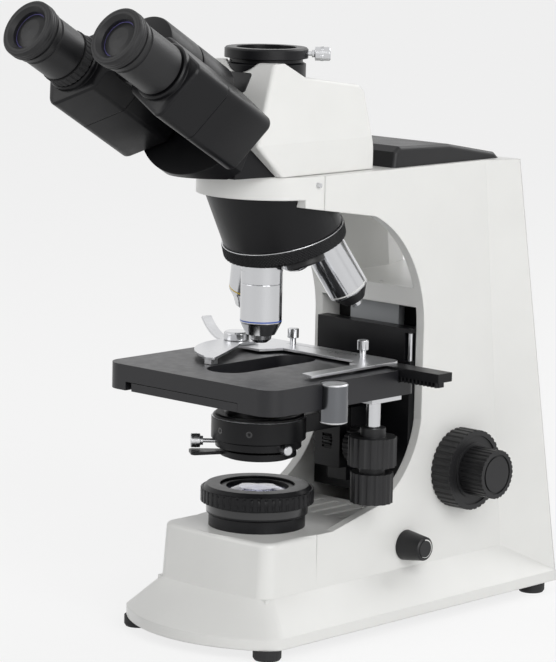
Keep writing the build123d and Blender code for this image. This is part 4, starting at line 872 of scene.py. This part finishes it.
@dataclass
class Condenser(Assembly):
    """Condenser with its carrier, lever, screws and height knob."""

    ring_radius: float = 30.3
    ring_foot: float = 126.0
    ring_top: float = 139.5
    lever_z: float = 116.5
    flange: float = 27.5
    grip_turn: float = -135.0

    def nodes(self) -> Dict[str, Finish]:
        """CAD nodes with their finishes.

        Returns:
            The finish of each node by its name.
        """
        return {"condenser_carrier": Finish.BLACK, "condenser_body": Finish.BLACK, "condenser_lens": Finish.GLASS,
                "condenser_screws": Finish.STEEL, "aperture_lever": Finish.BLACK, "condenser_knob": Finish.PLASTIC}

    def pieces(self) -> None:
        """Bright edge of the top ring, knurled screw grip and the ring's set screws."""
        r, top = self.ring_radius, self.ring_top
        edge = [(r - 1.4, top - 0.2), (r - 0.7, top - 0.2), (r - 0.2, top + 0.25), (r - 0.6, top + 0.7),
                (r - 1.4, top + 0.7)]
        self.add(Shape(place(0, 0, 0)).turned(edge, 128), "condenser_edge", Body.CONDENSER, Finish.STEEL)
        at = place(0, 0, self.lever_z + 6.5, ((self.grip_turn, "Z"), (90, "Y")))
        self.add(Shape(at).knurled(4.62, self.flange + 10.2, self.flange + 15.0, 30, 0.4, 0, 1.0), "centring_grip",
                 Body.CONDENSER, Finish.STEEL)
        screw = [(0.9, r - 0.6), (2.1, r - 0.6), (2.1, r + 0.06), (1.1, r + 0.06), (0.9, r - 0.1)]
        for turn, word in ((-100, "front"), (-58, "side")):
            at = place(0, 0, (self.ring_foot + top) / 2, ((turn, "Z"), (90, "Y")))
            self.add(Shape(at).turned(screw, 32), f"set_screw_{word}", Body.CONDENSER, Finish.BLACK_GLOSS)


@dataclass
class Nosepiece(Assembly):
    """Revolving turret with four objectives and a dust plug."""

    tilt: float = 17.5
    seat_circle: float = 23.5
    shoulder_z: float = 236.4
    stations: int = 5
    turret_radius: float = 39.5
    band: float = 9.0
    barrel: float = 13.3
    ring_width: float = 0.9
    diamonds: int = 120
    collar_ribs: int = 90

    def nodes(self) -> Dict[str, Finish]:
        """CAD nodes with their finishes.

        Returns:
            The finish of each node by its name.
        """
        return {"turret": Finish.BLACK, "objective_high": Finish.CHROME, "objective_oil": Finish.CHROME,
                "objective_middle": Finish.CHROME, "objective_low": Finish.CHROME, "front_lenses": Finish.GLASS,
                "dust_plug": Finish.PLASTIC}

    def turret_frame(self) -> Matrix:
        """Frame on the turret's axis at the seat circle, Z pointing down.

        Returns:
            The matrix of the frame.
        """
        lean = radians(self.tilt)
        return place(0, self.seat_circle * cos(lean), self.shoulder_z + self.seat_circle * sin(lean),
                     ((180 + self.tilt, "X"),))

    def station(self, index: int) -> Matrix:
        """Frame on one objective's shoulder, Z pointing down its axis.

        Args:
            index: Number of the station; 0 is in use.

        Returns:
            The matrix of the frame.
        """
        return (self.turret_frame() @ Matrix.Rotation(radians(-360 * index / self.stations), 4, "Z")
                @ Matrix.Translation((0, self.seat_circle * MM, 0)) @ Matrix.Rotation(radians(-self.tilt), 4, "X"))

    def ring(self, index: int, along: float, finish: Finish, name: str) -> None:
        """Painted ring in a barrel.

        Args:
            index: Station of the objective.
            along: Distance of the ring's upper edge below the shoulder.
            finish: Its colour.
            name: Name of the piece.
        """
        r = self.barrel
        profile = [(r - 0.3, along), (r + 0.04, along), (r + 0.04, along + self.ring_width),
                   (r - 0.3, along + self.ring_width)]
        self.add(Shape(self.station(index)).turned(profile), name, Body.TURRET, finish)

    def pieces(self) -> None:
        """Knurled band, bright edge line, and the objectives' rings, dark tip and collars."""
        foot = -(self.turret_radius - self.seat_circle) * tan(radians(self.tilt))
        at, low = self.turret_frame(), foot - self.band
        self.add(Shape(at).knurled(self.turret_radius + 0.35, low + 0.5, foot - 0.5, self.diamonds, 0.7, 4),
                 "turret_knurl", Body.TURRET, Finish.BLACK, smooth=20.0)
        edge = self.turret_radius - 0.1
        line = [(edge - 1.2, low - 0.05), (edge, low - 0.05), (edge + 0.1, low + 0.35), (edge - 1.2, low + 0.35)]
        self.add(Shape(at).turned(line, 160), "turret_edge", Body.TURRET, Finish.STEEL)
        self.ring(0, 34.6, Finish.BLUE_RING, "blue_ring")
        self.ring(4, 24.8, Finish.YELLOW_RING, "yellow_ring")
        self.ring(2, 35.2, Finish.WHITE_MARK, "white_ring")
        tip = [(12.3, 38.0), (12.66, 38.0), (7.56, 45.5), (7.3, 45.5)]
        self.add(Shape(self.station(2)).turned(tip), "oil_tip", Body.TURRET, Finish.PLASTIC)
        for index, word in ((0, "high"), (2, "oil"), (4, "middle")):
            collar = Shape(self.station(index)).knurled(self.barrel + 0.12, 1.2, 5.2, self.collar_ribs, 0.3, 0, 1.0)
            self.add(collar, f"collar_{word}", Body.TURRET, Finish.CHROME)


@dataclass
class Head(Assembly):
    """Head with its prism housing, camera tube, two wings and eyepieces."""

    incline: float = 30.0
    pivot_z: float = 314.0
    drop: float = 26.5
    rho: float = 42.2
    top: float = 184.0
    port_top: float = 374.3
    port_turn: float = 43.0
    wing_foot: float = 62.0
    wing_top: float = 137.0
    knuckle: float = 32.0
    seam: float = 106.0
    hub: float = 22.6
    hub_gap: float = 0.4
    hub_clearance: float = 0.7
    wing_side: float = 63.2
    wing_round: float = 6.0
    face: float = 44.4

    def nodes(self) -> Dict[str, Finish]:
        """CAD nodes with their finishes.

        Returns:
            The finish of each node by its name.
        """
        return {"head_housing": Finish.WHITE, "head_base": Finish.BLACK, "prisms": Finish.GLASS,
                "phototube": Finish.BLACK, "port_screw": Finish.CHROME, "wing_right": Finish.BLACK,
                "wing_left": Finish.BLACK, "eyepiece_right": Finish.PLASTIC, "eyepiece_left": Finish.PLASTIC,
                "diopter_ring": Finish.RUBBER}

    def arm(self, side: int) -> Matrix:
        """Frame of a tube housing's arm, X from the hub to the eyepiece and Z towards the eye.

        Args:
            side: 1 for the right and -1 for the left.

        Returns:
            The matrix of the frame.
        """
        turn = -self.drop if side > 0 else 180 + self.drop
        return place(0, 0, self.pivot_z, ((90 - self.incline, "X"), (turn, "Z")))

    def wing(self, side: int) -> None:
        """Bevelled tube housing with its seam, neck and the round hub it swings on.

        Args:
            side: 1 for the right and -1 for the left.
        """
        x, inner, outer = self.wing_side, 22.0 * side, 18.0 * side
        corners = [(1.0, 0.0), (28.6, -inner), (x, -inner), (x, outer), (23.5, outer)]
        joint = self.wing_foot + self.knuckle
        own = (self.wing_foot, joint)
        if side < 0:
            corners.reverse()
            own = (joint + self.hub_gap, joint + self.hub_gap + self.knuckle)
        foot, seam, top, r = self.wing_foot, self.seam, self.wing_top, self.hub
        levels = [(foot, 2.4), (foot + 0.8, 0.9), (foot + 2.4, 0.0), (joint - 0.1, 0.0), (joint + 0.1, 0.0),
                  (seam - 0.3, 0.0), (seam, 0.7), (seam + 0.3, 0.0), (top - 2.2, 0.0), (top - 0.7, 0.9), (top, 2.6)]
        outlines = []
        for z, inset in levels:
            outline = rounded(corners, self.wing_round, inset)
            if not own[0] <= z <= own[1]:
                outline = [self.clear_of_hub(point) for point in outline]
            outlines.append(outline)
        shape = Shape(self.arm(side)).stacked(outlines, [z for z, _ in levels])
        shape.turned([(8.3, own[0]), (r - 1.6, own[0]), (r - 0.4, own[0] + 0.5), (r, own[0] + 1.6),
                      (r, own[1] - 1.6), (r - 0.4, own[1] - 0.5), (r - 1.6, own[1]), (8.3, own[1])], 72)
        shape.turned([(15.2, top - 0.4), (18.5, top - 0.4), (18.5, top + 2.6), (17.7, top + 3.6),
                      (15.2, top + 3.6)], 96, (self.rho, 0.0))
        body, word = (Body.RIGHT_TUBE, "right") if side > 0 else (Body.LEFT_TUBE, "left")
        self.add(shape, f"tube_housing_{word}", body, Finish.BLACK, smooth=30.0, replaced=(f"wing_{word}",))

    def clear_of_hub(self, point: Point2) -> Point2:
        """Point moved outwards to clear the other wing's hub.

        Args:
            point: Point in the arm's frame.

        Returns:
            The same point, or its place on the clearance circle.
        """
        reach = max((point[0] ** 2 + point[1] ** 2) ** 0.5, 0.001)
        scale = max(1.0, (self.hub + self.hub_clearance) / reach)
        return (point[0] * scale, point[1] * scale)

    def tube_frame(self, side: int) -> Matrix:
        """Frame on an eyepiece's axis, Z towards the eye.

        Args:
            side: 1 for the right and -1 for the left.

        Returns:
            The matrix of the frame.
        """
        return self.arm(side) @ Matrix.Translation((self.rho * MM, 0, 0))

    def pieces(self) -> None:
        """Tube housings, rubber eyecups, coated eye lenses, a black pane painted as the shade in the head's front
        opening, and the knurled port screw.
        """
        self.wing(1)
        self.wing(-1)
        # Painted shade: a black plastic pane, a little proud of the head's front face, stands where the front has a
        # dark opening
        pane = [(-9.0, 13.5), (12.0, 13.5), (12.0, 27.0), (-9.0, 27.0)]
        shade_pane = Shape(place(0, 0, self.pivot_z, ((90 - self.incline, "X"),)))
        shade_pane.stacked([rounded(pane, 2.0, inset) for inset in (0.0, 0.0, 0.5)],
                       (self.face - 3.0, self.face + 0.15, self.face + 0.45))
        self.add(shade_pane, "head_window", Body.HEAD, Finish.PLASTIC)
        top = self.top
        cup = [(18.35, top - 6.6), (18.5, top - 5.8), (18.1, top - 4.9), (18.5, top - 4.0), (18.1, top - 3.1),
               (18.45, top - 2.2), (18.3, top - 1.0), (17.7, top - 0.1), (16.2, top + 0.05), (14.6, top - 0.2),
               (14.4, top - 1.0), (16.0, top - 1.4)]
        lens = [(0.02, top - 3.6), (5.0, top - 3.75), (9.0, top - 4.2), (11.8, top - 4.9), (11.8, top - 5.4),
                (0.02, top - 5.4)]
        for side, body, word in ((1, Body.RIGHT_TUBE, "right"), (-1, Body.LEFT_TUBE, "left")):
            at = self.tube_frame(side)
            self.add(Shape(at).turned(cup), f"eyecup_{word}", body, Finish.RUBBER)
            self.add(Shape(at).turned(lens, 72), f"eye_lens_{word}", body, Finish.EYE_COAT)
        at = place(0, 0, self.port_top - 3.7, ((self.port_turn, "Z"), (90, "Y")))
        self.add(Shape(at).knurled(4.6, 31.0, 39.4, 32, 0.45, 0, 1.0), "port_screw_grip", Body.PORT, Finish.CHROME)


@dataclass
class Studio:
    """Camera at the photograph's angle, pale floor and soft lights."""

    azimuth: float = 42.78
    pitch: float = 9.25
    roll: float = 1.24
    distance: float = 2021.16
    across: float = 10.89
    up: float = -5.76
    aim_z: float = 200.0
    focal_px: float = 3188.33
    frame_height: int = 662
    sensor: float = 36.0
    floor_glow: float = 0.8
    ambient: float = 0.3
    aim: Tuple[float, float, float] = (0, 0, 0.2)

    def camera(self) -> None:
        """Set the camera from its fitted place, direction and roll."""
        a, p, r = radians(self.azimuth), radians(self.pitch), radians(self.roll)
        forward = Vector((-sin(a) * cos(p), cos(a) * cos(p), -sin(p)))
        right0 = Vector((cos(a), sin(a), 0.0))
        up0 = right0.cross(forward)
        right = right0 * cos(r) + up0 * sin(r)
        up = up0 * cos(r) - right0 * sin(r)
        at = Vector((0, 0, self.aim_z)) + right * self.across + up * self.up - forward * self.distance
        data = bpy.data.cameras.new("camera")
        data.sensor_fit = "VERTICAL"
        data.sensor_height = self.sensor
        data.lens = self.sensor * self.focal_px / self.frame_height
        data.clip_end = 20.0
        thing = bpy.data.objects.new("camera", data)
        turn = Matrix((right, up, -forward)).transposed().to_4x4()
        thing.matrix_world = AXIS @ Matrix.Translation(at * MM) @ turn
        bpy.context.scene.collection.objects.link(thing)
        bpy.context.scene.camera = thing

    def floor(self) -> None:
        """Pale bench top that keeps the shadow."""
        shader = Shader("pale_floor")
        shader.put(Base_Color=(0.86, 0.86, 0.86), Roughness=0.9)
        glow = shader.node("ShaderNodeEmission", None, {"Color": (1.0, 1.0, 1.0), "Strength": 1.0})
        bench = Socket(shader, shader.bsdf.outputs[0])
        mix = shader.node("ShaderNodeMixShader", None, {0: shader.seen() * self.floor_glow, 1: bench, 2: glow})
        shader.tree.links.new(mix.socket, shader.output.inputs["Surface"])
        shape = bmesh.new()
        bmesh.ops.create_grid(shape, x_segments=2, y_segments=2, size=6.0)
        data = bpy.data.meshes.new("floor")
        shape.to_mesh(data)
        shape.free()
        data.materials.append(shader.material)
        thing = bpy.data.objects.new("floor", data)
        bpy.context.scene.collection.objects.link(thing)

    def world(self) -> None:
        """White surroundings that light the object softly."""
        world = bpy.data.worlds.new("studio")
        world.use_nodes = True
        bpy.context.scene.world = world
        graph = NodeGraph(world.node_tree)
        background = world.node_tree.nodes["Background"]
        graph.feed(background.inputs["Color"], (1.0, 1.0, 1.0))
        graph.feed(background.inputs["Strength"], graph.seen() * (1.0 - self.ambient) + self.ambient)

    def lamp(self, name: str, at: Tuple[float, float, float], size: float, watts: float) -> None:
        """Soft square lamp aimed at the middle of the instrument.

        Args:
            name: Name of the lamp.
            at: Place in metres.
            size: Side of the square in metres.
            watts: Power.
        """
        data = bpy.data.lights.new(name, "AREA")
        data.size = size
        data.energy = watts
        thing = bpy.data.objects.new(name, data)
        thing.location = at
        thing.rotation_euler = (Vector(self.aim) - Vector(at)).to_track_quat("-Z", "Y").to_euler()
        bpy.context.scene.collection.objects.link(thing)

    def build(self) -> None:
        """Set up camera, floor, surroundings and lamps."""
        self.camera()
        self.floor()
        self.world()
        self.lamp("key", (1.5, -0.5, 0.9), 1.2, 19.0)
        self.lamp("fill", (-0.9, -1.4, 0.9), 1.0, 6.0)
        self.lamp("rear", (0.2, 1.4, 1.3), 1.0, 8.0)
        bpy.context.scene.view_settings.view_transform = "Standard"


def main() -> None:
    """Build the studio and the sub-assemblies in order."""
    logging.basicConfig(level=logging.INFO, format="%(name)s: %(message)s")
    Studio().build()
    wardrobe = Wardrobe()
    for assembly in (Stand(wardrobe), Focus(wardrobe), Stage(wardrobe), Condenser(wardrobe), Nosepiece(wardrobe),
                     Head(wardrobe)):
        LOG.info("assembly %s", type(assembly).__name__)
        assembly.build()


if __name__ == "__main__":
    main()
